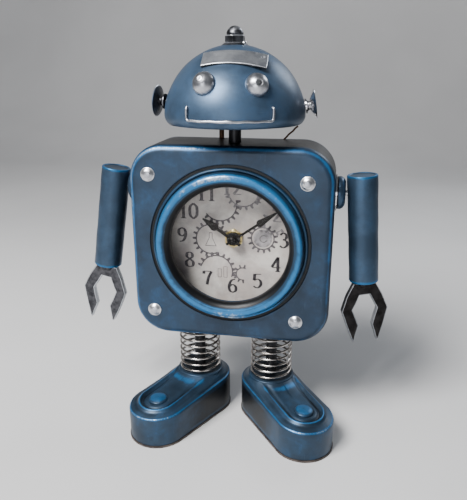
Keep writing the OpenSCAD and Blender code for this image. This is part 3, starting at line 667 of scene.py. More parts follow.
def body_shell():
    """Pressed shell: round opening in a sunk ring seat, softly rounded front edge, open back."""
    hole, seat, seat_depth = 36.2, 46.9, 0.8
    outline = body_outline()
    angles = [math.atan2(z, x) for x, z in outline]
    flat_edge = body_outline(EDGE_R)
    rows, wear = [], []

    def put(points, y, w):
        rows.append([(CX + x, y, BODY_Z + z) for x, z in points])
        wear.append([w(x, z) for x, z in points] if callable(w) else w)

    def circle(r):
        return [(r * math.cos(a), r * math.sin(a)) for a in angles]

    def rubbed(base):
        # the edge's wear value is raised towards the upper left and lowered towards the lower right
        def worn(x, z):
            upper_left = smooth_step((z - x) / BODY_W, 0.25, 0.85)
            lower_right = smooth_step((x - z) / BODY_W, 0.2, 0.8)
            return base * (0.78 + 0.42 * upper_left - 0.25 * lower_right)

        return worn

    put(circle(hole), FRONT_Y + WALL, 0)
    put(circle(hole), FRONT_Y + seat_depth, -1)
    put(circle(seat - 0.2), FRONT_Y + seat_depth, -1)
    put(circle(seat), FRONT_Y + seat_depth - 0.15, -1)
    put(circle(seat + 0.1), FRONT_Y + 0.2, -0.7)
    put(circle(seat + 0.4), FRONT_Y, -0.2)
    for k in range(1, 22):
        t = k / 22
        inner, outer = circle(seat + 0.4), flat_edge
        points = [(a[0] + (b[0] - a[0]) * t, a[1] + (b[1] - a[1]) * t) for a, b in zip(inner, outer)]
        put(points, FRONT_Y, -0.22 if t < 0.2 else 0.0 if t < 0.9 else 0.1)
    for k in range(13):
        a = 90 * k / 12
        inset = EDGE_R * (1 - math.sin(math.radians(a)))
        y = FRONT_Y + EDGE_R * (1 - math.cos(math.radians(a)))
        worn = 0.10 + 0.92 * hill(a, 40, 17) - 0.6 * smooth_step(a, 62, 88)
        put(body_outline(inset), y, rubbed(worn))
    for k in range(1, 9):
        y = FRONT_Y + EDGE_R + (SHELL_BACK_Y - FRONT_Y - EDGE_R) * k / 8
        put(outline, y, -0.80 if k < 8 else -0.3)
    inner = body_outline(WALL)
    put(inner, SHELL_BACK_Y, 0)
    put(inner, FRONT_Y + EDGE_R, -0.6)
    put(body_outline(EDGE_R), FRONT_Y + WALL, -0.6)
    obj = loft("body_shell_skin", rows, closed_rows=True, wear=wear, wobble=0.12, wobble_size=26)
    return finish_piece(obj, "body", BODY_BLUE, "body_shell", slot="blue_paint")


def back_cover():
    """Flat cover with a square window for the movement."""
    opening = 60
    outer = body_outline()
    inner_square = rounded_square(opening, opening, 5)
    rows, wear = [], []

    def put(points, y, w):
        rows.append([(CX + x, y, BODY_Z + z) for x, z in points])
        wear.append(w)

    soft = 0.6
    put(inner_square, SHELL_BACK_Y, -0.4)
    put(outer, SHELL_BACK_Y, 0)
    put(outer, BACK_Y - soft, 0.6)
    put(body_outline(soft * 0.3), BACK_Y - soft * 0.3, 0.9)
    put(body_outline(soft), BACK_Y, 0.5)
    put(body_outline(4), BACK_Y, 0)
    put(rounded_square(opening + 1, opening + 1, 5.5), BACK_Y, 0.1)
    put(inner_square, BACK_Y - 0.5, 0.5)
    obj = loft("back_cover_skin", rows, closed_rows=True, wear=wear, wobble=0.08, wobble_size=20)
    return finish_piece(obj, "body", BODY_BLUE, "back_cover", slot="blue_paint")


def bezel_ring():
    """Rolled ring: thin lip, valley, fat crest with a steep outside and a long slope into the well, painted
    near black as painted shade except at the bottom.
    """
    crest, base_h, peak = RING_R - 4.4, 0.4, 4.95
    profile = [(RING_R + 1.6, -0.75, -1.0), (RING_R + 0.2, -0.7, -1.0), (RING_R, -0.2, -0.4)]
    profile += arc(RING_R - 0.9, 0.1, 0.75, 10, 140, 8, 0.12)
    profile += [(RING_R - 1.75, 0.3, -0.5), (RING_R - 2.0, 0.25, -0.9)]
    for k in range(31):
        t = math.radians(6 + 174 * k / 30)
        half = RING_R - 2.0 - crest if k < 15 else crest - DIAL_R
        x = crest + half * math.cos(t)
        worn = 0.80 * hill(x, crest - 0.1, 2.5)
        # the long inner slope gets low wear values: painted shade of the crest over the well, shown near
        # black
        worn -= 1.2 * smooth_step(crest - x, 2.2, 4.2) + 0.3 * smooth_step(x - crest, 1.5, 2.3)
        profile.append((x, base_h + peak * math.sin(t), worn))
    profile += [
        (DIAL_R, -0.6, -0.9), (DIAL_R, -WALL, -1.0), (DIAL_R + 1.1, -WALL - 0.05, -1.0),
        (DIAL_R + 1.2, -0.8, -1.0), (RING_R + 1.6, -0.8, -1.0)
    ]

    def rub(angle, w):
        # angle 0 is twelve o'clock and grows towards nine; top and bottom are rubbed most
        if w <= -0.99:
            return w
        turn = math.degrees(angle if angle < math.pi else angle - 2 * math.pi)
        top = hill(turn, 12, 40)
        low = hill(math.degrees(angle), 185, 26)
        if w < 0.3:
            # the slope under the dial faces up to the light, so its painted shade is lifted there into a
            # painted highlight
            return w + 1.0 * hill(math.degrees(angle), 180, 42)
        return w + 0.40 * top + 0.25 * low

    m = frame_at((CX, FRONT_Y, BODY_Z), (0, -1, 0))
    obj = lathe("bezel_ring_skin", m, profile, closed=True, steps=160, wobble=0.16, wobble_size=12, rub=rub)
    return finish_piece(obj, "body", RING_BLUE, "bezel_ring", slot="blue_paint")


def rivets():
    """Hammered rivet heads with a shallow pit off the middle."""
    rng = random.Random(7)
    for i, (x, z) in enumerate(RIVETS):
        m = frame_at((CX + x, FRONT_Y, BODY_Z + z), (0, -1, 0))
        dent = rng.uniform(0.12, 0.2)
        top = 2.25
        profile = [(1.9, -3.5, -1), (1.9, -0.2, -1), (4.0, -0.2, -0.6), (4.05, 0.45, 0.3)]
        for x2, y2, _ in arc(0, top - 4.9, 4.9, 36, 90, 10):
            profile.append((x2, max(y2, 0.45) - dent * hill(x2, 0, 1.1), 0.7 if x2 > 2 else 0.4))
        obj = lathe(f"rivet_{i + 1}", m, profile, steps=40, wobble=0.10, wobble_size=2.2)
        finish_piece(obj, "body", BARE, *(["corner_rivets"] if i == 0 else []), slot="bright_steel")


# ---------------------------------------------------------------- dial


PRINT_T = 0.05
PRINT_Y = DIAL_Y - 0.02
FIGURE_R = 31


def dial_matrix(x, z, turn=0.0, scale=1.0):
    """Frame on the dial: X to the viewer's right, Y up, Z out of the dial."""
    m = frame_at((CX + x, PRINT_Y, BODY_Z + z), (0, -1, 0), (1, 0, 0))
    return m @ Matrix.Rotation(turn, 4, "Z") @ Matrix.Scale(scale, 4)


def flat_shape(loops):
    """Verts and faces for thin raised shapes. Each loop is (outer points, inner points or None)."""
    verts, faces = [], []
    for outer, inner in loops:
        n = len(outer)
        base = len(verts)
        if inner is None:
            verts += [(x, y, 0) for x, y in outer] + [(x, y, PRINT_T) for x, y in outer]
            faces.append(tuple(base + i for i in range(n - 1, -1, -1)))
            faces.append(tuple(base + n + i for i in range(n)))
            faces += [(base + i, base + (i + 1) % n, base + n + (i + 1) % n, base + n + i) for i in range(n)]
        else:
            for pts, h in ((outer, 0), (inner, 0), (inner, PRINT_T), (outer, PRINT_T)):
                verts += [(x, y, h) for x, y in pts]
            for a, b in ((0, 1), (1, 2), (2, 3), (3, 0)):
                faces += [
                    (
                        base + a * n + i, base + a * n + (i + 1) % n, base + b * n + (i + 1) % n,
                        base + b * n + i
                    )
                    for i in range(n)
                ]
    return verts, faces


def curve_through(points, steps=6):
    """Catmull-Rom curve through a few points."""
    p = [Vector(points[0])] + [Vector(q) for q in points] + [Vector(points[-1])]
    out = []
    for a, b, c, d in zip(p, p[1:], p[2:], p[3:]):
        for k in range(steps):
            t = k / steps
            out.append(
                0.5 * (
                    2 * b + (c - a) * t + (2 * a - 5 * b + 4 * c - d) * t**2 + (3 * b - a - 3 * c + d) * t**3
                )
            )
    out.append(p[-2])
    return out


def ribbon(points, thin, thick, curved=True):
    """Outline of a pen stroke whose upright parts are thick and whose level parts are thin."""
    pts = curve_through(points) if curved else [Vector(q) for q in points]
    left, right = [], []
    for i, p in enumerate(pts):
        d = (pts[min(i + 1, len(pts) - 1)] - pts[max(i - 1, 0)]).normalized()
        half = (thin + (thick - thin) * abs(d.y) ** 1.5) / 2
        n = Vector((-d.y, d.x)) * half
        left.append(tuple(p + n))
        right.append(tuple(p - n))
    return left + right[::-1]


# Strokes of the dial's figures in a box 0.6 wide and 1 high: (points, curved)
FIGURES = {
    "0": [
        ([(0.3, 1), (0.1, 0.8), (0.06, 0.5), (0.1, 0.2), (0.3, 0)], True),
        ([(0.3, 0), (0.5, 0.2), (0.54, 0.5), (0.5, 0.8), (0.3, 1)], True)
    ],
    "1": [
        ([(0.3, 0), (0.3, 1)], False), ([(0.12, 0.82), (0.3, 0.97)], False),
        ([(0.12, 0.02), (0.48, 0.02)], False)
    ],
    "2": [
        ([(0.07, 0.74), (0.16, 0.95), (0.36, 0.97), (0.5, 0.78), (0.4, 0.5), (0.06, 0.05)], True),
        ([(0.06, 0.05), (0.55, 0.05)], False)
    ],
    "3": [
        ([(0.08, 0.84), (0.28, 0.98), (0.48, 0.82), (0.42, 0.6), (0.24, 0.54)], True),
        ([(0.24, 0.54), (0.48, 0.44), (0.53, 0.2), (0.3, 0.0), (0.06, 0.12)], True)
    ],
    "4": [
        ([(0.42, 0), (0.42, 1)], False), ([(0.42, 0.98), (0.02, 0.3)], True),
        ([(0.02, 0.29), (0.6, 0.29)], False), ([(0.26, 0.02), (0.58, 0.02)], False)
    ],
    "5": [
        ([(0.14, 0.95), (0.56, 0.97)], False), ([(0.14, 0.96), (0.1, 0.52)], False),
        ([(0.1, 0.52), (0.32, 0.62), (0.52, 0.48), (0.53, 0.2), (0.32, 0.0), (0.06, 0.1)], True)
    ],
    "6": [
        ([(0.5, 0.94), (0.24, 0.84), (0.08, 0.46), (0.14, 0.12), (0.32, 0.0)], True),
        ([(0.32, 0.0), (0.52, 0.14), (0.52, 0.42), (0.32, 0.56), (0.12, 0.42)], True)
    ],
    "7": [
        ([(0.04, 0.95), (0.56, 0.95)], False), ([(0.56, 0.95), (0.36, 0.55), (0.24, 0.0)], True),
        ([(0.05, 0.95), (0.03, 0.76)], False)
    ],
    "8": [
        ([(0.3, 0.54), (0.12, 0.7), (0.14, 0.92), (0.3, 1), (0.46, 0.92), (0.48, 0.7), (0.3, 0.54)], True),
        ([(0.3, 0.54), (0.07, 0.34), (0.1, 0.08), (0.3, 0), (0.5, 0.08), (0.53, 0.34), (0.3, 0.54)], True)
    ],
    "9": [
        ([(0.1, 0.06), (0.36, 0.16), (0.52, 0.54), (0.46, 0.88), (0.28, 1.0)], True),
        ([(0.28, 1.0), (0.08, 0.86), (0.08, 0.58), (0.28, 0.44), (0.48, 0.58)], True)
    ],
}


def printed(name, loops, material, matrix):
    verts, faces = flat_shape(loops)
    obj = mesh_object(name, [matrix @ Vector(v) for v in verts], faces, sharp=30)
    return finish_piece(obj, "body", material, slot="dial_print")


def figure_loops(text, height):
    loops = []
    x0 = -0.33 * len(text) * height
    for i, c in enumerate(text):
        for points, curved in FIGURES[c]:
            pts = [(x0 + (p[0] + 0.66 * i) * height, (p[1] - 0.5) * height) for p in points]
            loops.append((ribbon(pts, 0.060 * height, 0.200 * height, curved), None))
    return loops


def toothed(r_in, r_root, r_tip, teeth, start=0, end=360):
    """Flat ring or part ring with teeth, as one loop of outer points and one of inner points."""
    outer, inner = [], []
    count = int(teeth * (end - start) / 360)
    step = (end - start) / count
    for i in range(count):
        for share, r in ((0.0, r_root), (0.22, r_root), (0.36, r_tip), (0.64, r_tip), (0.78, r_root)):
            a = math.radians(start + (i + share) * step)
            outer.append((r * math.cos(a), r * math.sin(a)))
            inner.append((r_in * math.cos(a), r_in * math.sin(a)))
    if end - start < 360:
        return [(outer + inner[::-1], None)]
    return [(outer, inner)]


def dial_print():
    faint = (12, 1, 2)
    for hour in range(1, 13):
        a = math.radians(90 - 30 * hour)
        m = dial_matrix(FIGURE_R * math.cos(a) - 0.8, FIGURE_R * math.sin(a))
        # figures 8 to 11 take the greyer print rather than the black ink: a painted reflection of the glass
        # over the left of the dial
        look = INK if hour in (3, 4, 5, 6, 7) else FADED if hour in faint else PRINT
        printed(f"figure_{hour}", figure_loops(str(hour), 9.4), look, m)
    # name, centre, (inner, root, tip, teeth), look, first and last angle
    wheels = [
        ("wheel_left", -14.2, -1.6, (8.8, 9.6, 11.6, 20), PRINT, 20, 300),
        ("wheel_low", -11.0, -22.0, (9.6, 10.4, 12.4, 20), PRINT, -20, 170),
        ("wheel_upper", -8.6, 20.4, (9.8, 10.6, 12.8, 20), PRINT, 215, 380),
        ("wheel_top", 5.6, 28.6, (8.6, 9.4, 11.4, 18), FADED, 190, 350),
        ("wheel_small", 5.4, -23.0, (3.6, 4.3, 6.2, 11), PRINT, 60, 290),
        ("wheel_right", 17.4, 0.4, (6.4, 7.2, 9.3, 15), PRINT, 0, 360),
        ("wheel_corner", 24.0, 10.5, (5.6, 6.2, 8.0, 14), FADED, 130, 330),
    ]
    for i, (name, x, z, size, material, start, end) in enumerate(wheels):
        m = dial_matrix(x, z)
        m.translation.y -= 0.012 * i
        printed(name, toothed(*size, start, end), material, m)
    disc = [(5.6 * math.cos(t * math.pi / 24), 5.6 * math.sin(t * math.pi / 24)) for t in range(48)]
    printed("wheel_right_disc", [(disc, None)], SHADED, dial_matrix(17.4, 0.4))
    ring = [(0.42 * p[0], 0.42 * p[1]) for p in disc]
    printed(
        "wheel_right_hub", [(ring, [(0.8 * p[0], 0.8 * p[1]) for p in ring])], PRINT, dial_matrix(17.9, 0.2)
    )
    for i, (x, z, h) in enumerate(((-9.0, -26.0, 5.6), (-5.4, -26.0, 7.2))):
        w = 1.2
        outer = [(-w, 0), (w, 0), (w, h), (-w, h)]
        inner = [(-w + 0.28, 0.28), (w - 0.28, 0.28), (w - 0.28, h - 0.28), (-w + 0.28, h - 0.28)]
        printed(f"bar_{i + 1}", [(outer, inner)], PRINT, dial_matrix(x, z))
    flask = [(-1.1, 8.6), (-1.1, 5.4), (-3.6, 0), (3.6, 0), (1.1, 5.4), (1.1, 8.6)]
    bore = [(-0.75, 8.2), (-0.75, 5.3), (-3.0, 0.4), (3.0, 0.4), (0.75, 5.3), (0.75, 8.2)]
    printed("flask", [(flask, bore)], PRINT, dial_matrix(-14.4, -6.0))


def hand_nut():
    """Brass hexagon nut with chamfered corners that holds the dial, and the domed hand cap."""
    lo, hi = box_mm("movement_nut")
    flats = min(hi.z - lo.z, hi.x - lo.x)
    m = frame_at((CX, hi.y, BODY_Z), (0, -1, 0), (1, 0, 0))
    obj = hex_body("hand_nut", m, flats / 2, hi.y - lo.y, 4.05)
    finish_piece(obj, "body", BRASS, "movement_nut", slot="brass")
    lo, hi = box_mm("hand_cap")
    m = frame_at((CX, hi.y, BODY_Z), (0, -1, 0))
    cap = soften(
        [
            (0, 0, -0.5), (2.7, 0, -0.6), (2.8, 0.9, 0.3), (1.9, 1.8, 0.3, 0.8), (0.7, 2.0, 0.2),
            (0.5, 1.5, -0.8), (0, 1.5, -0.8)
        ],
        0.3
    )
    finish_piece(lathe("hand_cap_skin", m, cap, steps=40), "minute", HAND, "hand_cap", slot="black_steel")


def hexagon(apothem, is_round):
    """Radius rule for lathe: a hexagon, except where is_round(r, h)."""

    def rule(a, r, h):
        if is_round(r, h):
            return r
        side = (a + math.pi / 6) % (math.pi / 3) - math.pi / 6
        return min(apothem / math.cos(side), r)

    return rule


def hex_body(name, matrix, apothem, height, bore, chamfer=0.6):
    """Hexagon nut with a bore and turned-down corners."""
    corner = apothem / math.cos(math.pi / 6)
    profile = [
        (bore, 0.2, -0.5), (bore + 0.2, 0, 0), (apothem - 0.1, 0, 0.4), (corner, chamfer * 0.6, 0.7),
        (
            corner, height - chamfer * 0.6, 0.7
        ), (apothem - 0.1, height, 0.6), (bore + 0.2, height, 0.3), (bore, height - 0.2, -0.5),
    ]
    return lathe(
        name, matrix, profile, closed=True, steps=96, radius=hexagon(apothem, lambda r, h: r <= bore + 0.01)
    )


# ---------------------------------------------------------------- head


def in_head(v):
    """Moves a point of the head's own frame, face towards -Y, to its place."""
    c, s = math.cos(HEAD_TURN), math.sin(HEAD_TURN)
    return Vector((CX + v[0] * c - v[1] * s, CY + v[0] * s + v[1] * c, v[2]))


def dome_profile(extra=0.0):
    """Skirt, shoulder arc and crown arc, from rim to crown, as (radius, height)."""
    crown_z = HEAD_H - CROWN_R
    blend_z = crown_z + CROWN_R * (SKIRT - crown_z) / (CROWN_R - SHOULDER_R)
    start = math.degrees(math.asin((blend_z - SKIRT) / SHOULDER_R))
    pts = [(HEAD_R - RIM_IN * (1 - k / 6) ** 2 + extra, SKIRT * k / 6) for k in range(6)]
    pts += [(x, y) for x, y, _ in arc(SHOULDER_X, SKIRT, SHOULDER_R + extra, 0, start, 6)]
    angle = math.degrees(math.acos((SHOULDER_X + SHOULDER_R * math.cos(math.radians(start))) / CROWN_R))
    pts += [(x, y) for x, y, _ in arc(0, crown_z, CROWN_R + extra, angle, 90, 44)[1:]]
    return pts


def head_dome():
    wall = 1.2
    outer = dome_profile()
    inner = dome_profile(-wall)
    profile = [
        (HEAD_R - wall - RIM_IN, 0.3, -0.6), (HEAD_R - 0.8 - RIM_IN, 0.0, -0.5),
        (HEAD_R - 0.1 - RIM_IN, 0.12, -0.4)
    ]
    for r, h in outer[1:]:
        profile.append((r, h, -0.35 * math.exp(-h / 2.4) + 0.14 * hill(h, 5, 2.5)))
    profile += [(r, h, -0.8) for r, h in inner[::-1][:-1]]
    m = Matrix.Translation((CX, CY, HEAD_Z))
    obj = lathe("head_dome_skin", m, profile, steps=144, wobble=0.22, wobble_size=16, sharp=60)
    return finish_piece(obj, "head", HEAD_BLUE, "head_dome", slot="blue_paint")


def brow_plate():
    """Strip bent one way only and fixed to the forehead, dinged at one end."""
    half_w, half_h, lift = 17, 5.6, 1.0
    bend, sink, shift = 60, 0.3, 1.5
    tilt, roll = math.radians(34.6), math.radians(3.3)
    cols, rows_n = 72, 22
    rng = random.Random(3)
    dents = [
        (14.4, 2.6, 0.9, 0.60), (13.0, 0.6, 0.6, 0.35), (15.0, -0.8, 0.5, 0.40), (10.2, 4.6, 0.8, 0.25),
        (3.6, 4.2, 0.6, 0.20), (2.4, 3.6, 0.5, 0.15), (11.4, -4.4, 0.6, 0.30), (-10, 0.5, 1.4, 0.14)
    ]
    for _ in range(16):
        a, b = rng.uniform(-15, 15), rng.uniform(-4.6, 4.6)
        dents.append((a, b, rng.uniform(0.3, 0.6), rng.uniform(0.04, 0.12)))

    def place(a, b, h):
        angle = a / bend
        x, z = (bend + h) * math.sin(angle) + shift, (bend + h) * math.cos(angle) + CROWN_R - sink - bend
        x, b = x * math.cos(roll) + b * math.sin(roll), b * math.cos(roll) - x * math.sin(roll)
        return in_head(
            (x, b * math.cos(tilt) - z * math.sin(tilt), CROWN_Z + z * math.cos(tilt) + b * math.sin(tilt))
        )

    def top(a, b):
        h = lift
        for da, db, size, depth in dents:
            h -= depth * math.exp(-((a - da) ** 2 + (b - db) ** 2) / size**2)
        return h

    soft = 0.25
    levels = [(0.0, -0.1), (0.0, lift - soft), (soft * 0.3, lift - soft * 0.3), (soft, None)]
    rows = []
    for inset, h in levels:
        row, worn = [], []
        for k in range(cols):
            a = -half_w + inset + (2 * half_w - 2 * inset) * k / cols
            row.append((a, -half_h + inset))
        for k in range(rows_n):
            row.append((half_w - inset, -half_h + inset + (2 * half_h - 2 * inset) * k / rows_n))
        for k in range(cols):
            row.append((half_w - inset - (2 * half_w - 2 * inset) * k / cols, half_h - inset))
        for k in range(rows_n):
            row.append((-half_w + inset, half_h - inset - (2 * half_h - 2 * inset) * k / rows_n))
        rows.append([place(a, b, top(a, b) if h is None else h) for a, b in row])
    n = len(rows[0])
    verts = [p for row in rows for p in row]
    wear = [w for w in (-1.0, -0.7, 0.9, 0.6) for _ in range(n)]
    faces = []
    for i in range(3):
        a, b = i * n, (i + 1) * n
        faces += [(a + j, a + (j + 1) % n, b + (j + 1) % n, b + j) for j in range(n)]

    def skin(ring, inset, height, worn, up):
        """Grid of faces inside a closed ring of points that starts at point number ring."""
        inside = {}
        for j in range(1, rows_n):
            for i in range(1, cols):
                a = -half_w + inset + (2 * half_w - 2 * inset) * i / cols
                b = -half_h + inset + (2 * half_h - 2 * inset) * j / rows_n
                inside[i, j] = len(verts)
                verts.append(place(a, b, height(a, b)))
                wear.append(worn)

        def at(i, j):
            if j == 0:
                return ring + i
            if i == cols:
                return ring + cols + j
            if j == rows_n:
                return ring + cols + rows_n + (cols - i)
            if i == 0:
                return ring + 2 * cols + rows_n + (rows_n - j)
            return inside[i, j]

        for j in range(rows_n):
            for i in range(cols):
                corners = (at(i, j), at(i + 1, j), at(i + 1, j + 1), at(i, j + 1))
                faces.append(corners if up else corners[:1] + corners[:0:-1])

    skin(3 * n, soft, top, 0.05, True)
    skin(0, 0.0, lambda a, b: -0.1, 0.0, False)
    obj = mesh_object("brow_plate_skin", verts, faces, wear, sharp=50)
    return finish_piece(obj, "head", BROW, "brow_plate", slot="bright_steel")


def eyes():
    """Steel balls set in the dome. The one at +X has a small drilled dimple that faces the front."""
    for side, sign in SIDES.items():
        node = f"eye_{side}"
        a = sign * math.radians(23 if side == "right" else 22)
        centre = in_head(
            (34.4 * math.sin(a), -34.4 * math.cos(a), HEAD_Z + (21.4 if side == "right" else 22))
        )
        r = 6.1
        if side == "right":
            axis = Vector((0.40, -0.94, 0.30))
            pit_r, depth = 2.0, 0.42
        else:
            axis = centre - Vector((CX, CY, CROWN_Z))
            pit_r, depth = 1.2, 0.10
        profile = [(0, -r, -0.5)]
        for k in range(1, 48):
            t = math.pi * k / 48
            x, h = r * math.sin(t), -r * math.cos(t)
            w = 0.15
            if t > math.pi / 2 and x < pit_r * 1.6:
                lip = hill(x, pit_r, 0.32)
                floor = 1 / (1 + math.exp((x - pit_r * 0.78) / 0.12))
                h += 0.12 * lip - depth * floor
                w = 0.9 * lip - 0.7 * floor * (depth > 0.3)
            profile.append((x, h, w))
        profile.append((0, r - depth, -0.5 if side == "right" else 0.1))
        obj = lathe(
            f"{node}_ball", frame_at(centre, axis), profile, steps=64, wobble=0.07, wobble_size=3.0,
            sharp=70
        )
        finish_piece(obj, "head", BARE, node, slot="bright_steel")
        # the seat ring round each ball is painted near black all round: painted shade in the crease between
        # ball and dome
        out = centre - Vector((CX, CY, CROWN_Z))
        seat = frame_at(Vector((CX, CY, CROWN_Z)) + out.normalized() * (CROWN_R - 0.4), out)
        ring = soften(
            [(4.8, 0, -1), (6.1, 0, -1), (6.0, 0.5, -0.9), (5.6, 0.7, -0.9), (4.8, 0.5, -1)], 0.15, 2
        )
        finish_piece(lathe(f"eye_seat_{side}", seat, ring, steps=56), "head", HEAD_BLUE, slot="blue_paint")


def mouth():
    """One bent wire, soldered to the dome at its ends and in the middle."""
    half = math.radians(33.5)
    z_low = 192.6
    z_end = 199
    r_low = HEAD_R + 0.75
    bend = 1.6
    path = []

    def at(angle, r, z):
        return in_head((r * math.sin(angle), -r * math.cos(angle), z))

    swing = bend / r_low
    path.append(at(-half, HEAD_R - 1.2, z_end + 0.3))
    path.append(at(-half, HEAD_R + 0.15, z_end + 0.2))
    path.append(at(-half, HEAD_R + 0.55, z_end - 0.5))
    for k in range(1, 5):
        path.append(at(-half, r_low, z_end - 0.5 - (z_end - 0.5 - z_low - bend) * k / 4))
    for k in range(1, 6):
        t = math.radians(90 * k / 6)
        path.append(at(-half + swing * (1 - math.cos(t)), r_low, z_low + bend * (1 - math.sin(t))))
    for k in range(33):
        path.append(
            at(-half + swing + (2 * half - 2 * swing) * k / 32, r_low, z_low + 0.12 * math.sin(k * 0.9))
        )
    for k in range(1, 6):
        t = math.radians(90 * k / 6)
        path.append(at(half - swing * (1 - math.sin(t)), r_low, z_low + bend * (1 - math.cos(t))))
    for k in range(5):
        path.append(at(half, r_low, z_low + bend + (z_end - 0.5 - z_low - bend) * k / 4))
    path.append(at(half, HEAD_R + 0.15, z_end + 0.2))
    path.append(at(half, HEAD_R - 1.2, z_end + 0.3))

    def radius(t):
        solder = 0.28 * hill(t, 0.5, 0.035) + 0.12 * hill(t, 0.44, 0.02)
        return 0.68 + solder

    obj = sweep("mouth_wire_skin", path, radius, sides=12, wobble=0.08, wobble_size=1.6)
    return finish_piece(obj, "head", BARE, "mouth_wire", slot="polished_steel")


def ears():
    """Dishes on short turned stems, with a collar against the dome. The one at +X is a deeper trumpet."""
    # height, tilt up and turn to the back
    places = {"left": (200.1, math.radians(5), math.radians(10.5)), "right": (197.9, math.radians(10), 0.0)}
    for side, sign in SIDES.items():
        z, t, back = places[side]
        x = sign * (HEAD_R - 0.5)
        origin = in_head((x, 0, z))
        tip = in_head(
            (x + sign * math.cos(t) * math.cos(back), math.cos(t) * math.sin(back), z + math.sin(t))
        )
        m = frame_at(origin, tip - origin)
        neck, start, grow = (2.6, 2.8, 1.2) if side == "right" else (2.4, 3.8, 1.0)
        profile = [
            (0, -3.5, 0), (2.0, -3.5, 0), (2.0, 0.2, -0.8), (4.2, 0.3, -0.6), (4.3, 1.0, 0.5),
            (3.1, 1.7, 0.0), (neck, 2.3, -0.6), (neck, start, -0.2)
        ]
        rim_r, rim_h = 8.6, 5.7 if side == "right" else 4.9
        for k in range(1, 9):
            u = k / 8
            # the dish at -X keeps low wear values almost to its rim: painted shade on the back of the dish
            worn = -0.75 + (1.6 * u**6 if side == "left" else 1.2 * u)
            profile.append((neck + (rim_r - neck) * u, start + (rim_h - start) * u**grow, worn))
        profile += [(rim_r + 0.15, rim_h + 0.2, 1.0), (rim_r, rim_h + 0.4, 1.0)]
        for k in range(1, 9):
            u = 1 - k / 8
            profile.append((rim_r * u, rim_h - 1.2 + 1.55 * u**2.2, -0.4))
        obj = lathe(f"ear_{side}_dish", m, profile, steps=64, wobble=0.08, wobble_size=5, sharp=50)
        # the ear at -X takes the dark steel instead of the polished steel: painted shade on the back of the
        # dish
        finish_piece(obj, "head", DARK if side == "left" else CHROME, f"ear_{side}", slot="polished_steel")


def finial():
    """Hammered collar and domed nut on top of the head."""
    lo, hi = box_mm("acorn_nut")
    m = Matrix.Translation((CX, CY, 0))
    z0 = HEAD_Z + HEAD_H - 2.6
    z1 = box_mm("finial_collar")[1].z
    collar = soften(
        [
            (0.5, z0, 0), (8.1, z0, -0.7), (7.9, z0 + 1.7, -0.2), (6.5, z1 - 0.5, 0.4), (5.9, z1, 0.9),
            (0.5, z1, 0)
        ],
        0.5, 3
    )
    finish_piece(
        lathe("finial_collar_skin", m, collar, steps=56, wobble=0.32, wobble_size=3.0), "body", DARK,
        "finial_collar", slot="dark_steel"
    )
    apothem = 5.0
    corner = apothem / math.cos(math.pi / 6)
    top = hi.z
    hex_h = 4.0
    hexed = hexagon(apothem, lambda r, h: h > lo.z + hex_h + 0.05)
    profile = [
        (0.3, lo.z, 0), (apothem - 0.1, lo.z, 0), (corner, lo.z + 0.4, 0.6), (corner, lo.z + 0.9, -0.1),
        (corner, lo.z + hex_h - 1.1, -0.1), (corner, lo.z + hex_h - 0.6, 0.9),
        (apothem - 0.1, lo.z + hex_h, 0.7)
    ]
    profile += [(4.5, lo.z + hex_h + 0.1, -0.8), (4.55, lo.z + hex_h + 0.5, -0.4)]
    profile += [(x, y, 0.6 if y > top - 2.5 else 0.1) for x, y, _ in arc(0, top - 4.8, 4.75, 8, 89, 14)]
    obj = lathe("acorn_nut_skin", m, profile, steps=96, radius=hexed, wobble=0.10, wobble_size=2.4, sharp=40)
    finish_piece(obj, "body", DARK, "acorn_nut", slot="dark_steel")
    # small chrome ball on the collar's edge: a painted highlight, a bright glint of the collar made into a
    # bead
    ball = frame_at((CX + 5.6, CY - 2.6, z1 - 0.2), (0.3, -0.2, 1))
    glint_bead = [(0, -1.2, 0)] + [(x, y, 0.9) for x, y, _ in arc(0, 0, 1.15, -75, 88, 10)]
    finish_piece(
        lathe("finial_glint_bead", ball, glint_bead, steps=24, wobble=0.06, wobble_size=1), "body", CHROME,
        slot="dark_steel"
    )


# ---------------------------------------------------------------- arms


def arm_frame(side):
    """Matrix at the arm's top with Z running down the tube."""
    sign = SIDES[side]
    lean = LEAN[side]
    top = Vector((CX + sign * 72.9, CY, 161.3))
    down = Vector((sign * math.sin(lean), 0, -math.cos(lean)))
    return frame_at(top, down, (1, 0, 0))


def arms():
    for side, sign in SIDES.items():
        m = arm_frame(side)
        r = ARM_R
        profile = soften(
            [
                (0, 0.55, -0.2), (r - 1.6, 0.5, -0.3), (r - 1.2, 0.0, 0.6), (r - 0.25, 0.0, 0.9),
                (r, 0.5, 0.75), (r, 2.2, 0.1)
            ], 0.25, 3
        )
        for k in range(1, 28):
            h = 2.2 + (ARM_LEN - 4.4) * k / 28
            profile.append((r + 0.06 * math.sin(h * 0.31), h, 0.0))
        profile += soften(
            [
                (r, ARM_LEN - 2.2, 0.35), (r, ARM_LEN - 0.5, 0.85), (r - 0.3, ARM_LEN, 0.95),
                (r - 1.2, ARM_LEN, 0.4), (r - 1.6, ARM_LEN - 0.6, -0.9), (0, ARM_LEN - 0.6, -0.9)
            ], 0.25, 3
        )
        obj = lathe(f"arm_{side}_skin", m, profile, steps=72, wobble=0.14, wobble_size=9)
        finish_piece(obj, f"arm_{side}", ARM_BLUE, f"arm_tube_{side}", slot="blue_paint")

        boss = frame_at((CX + sign * BODY_W / 2, CY, 150.5), (sign, 0, 0))
        bell = soften(
            [
                (1.5, 0.8, -0.6), (9.3, 0.8, -0.8), (9.5, 3.0, 0.10, 1.2), (8.7, 4.5, 0.45, 1.0),
                (6.8, 5.6, 0.35, 0.8), (2.6, 5.7, -0.5), (1.5, 5.5, -0.8)
            ], 0.4, 4
        )
        obj = lathe(f"shoulder_{side}_bell", boss, bell, closed=True, steps=64, wobble=0.12, wobble_size=6)
        finish_piece(obj, "body", ARM_BLUE, f"shoulder_boss_{side}", slot="blue_paint")


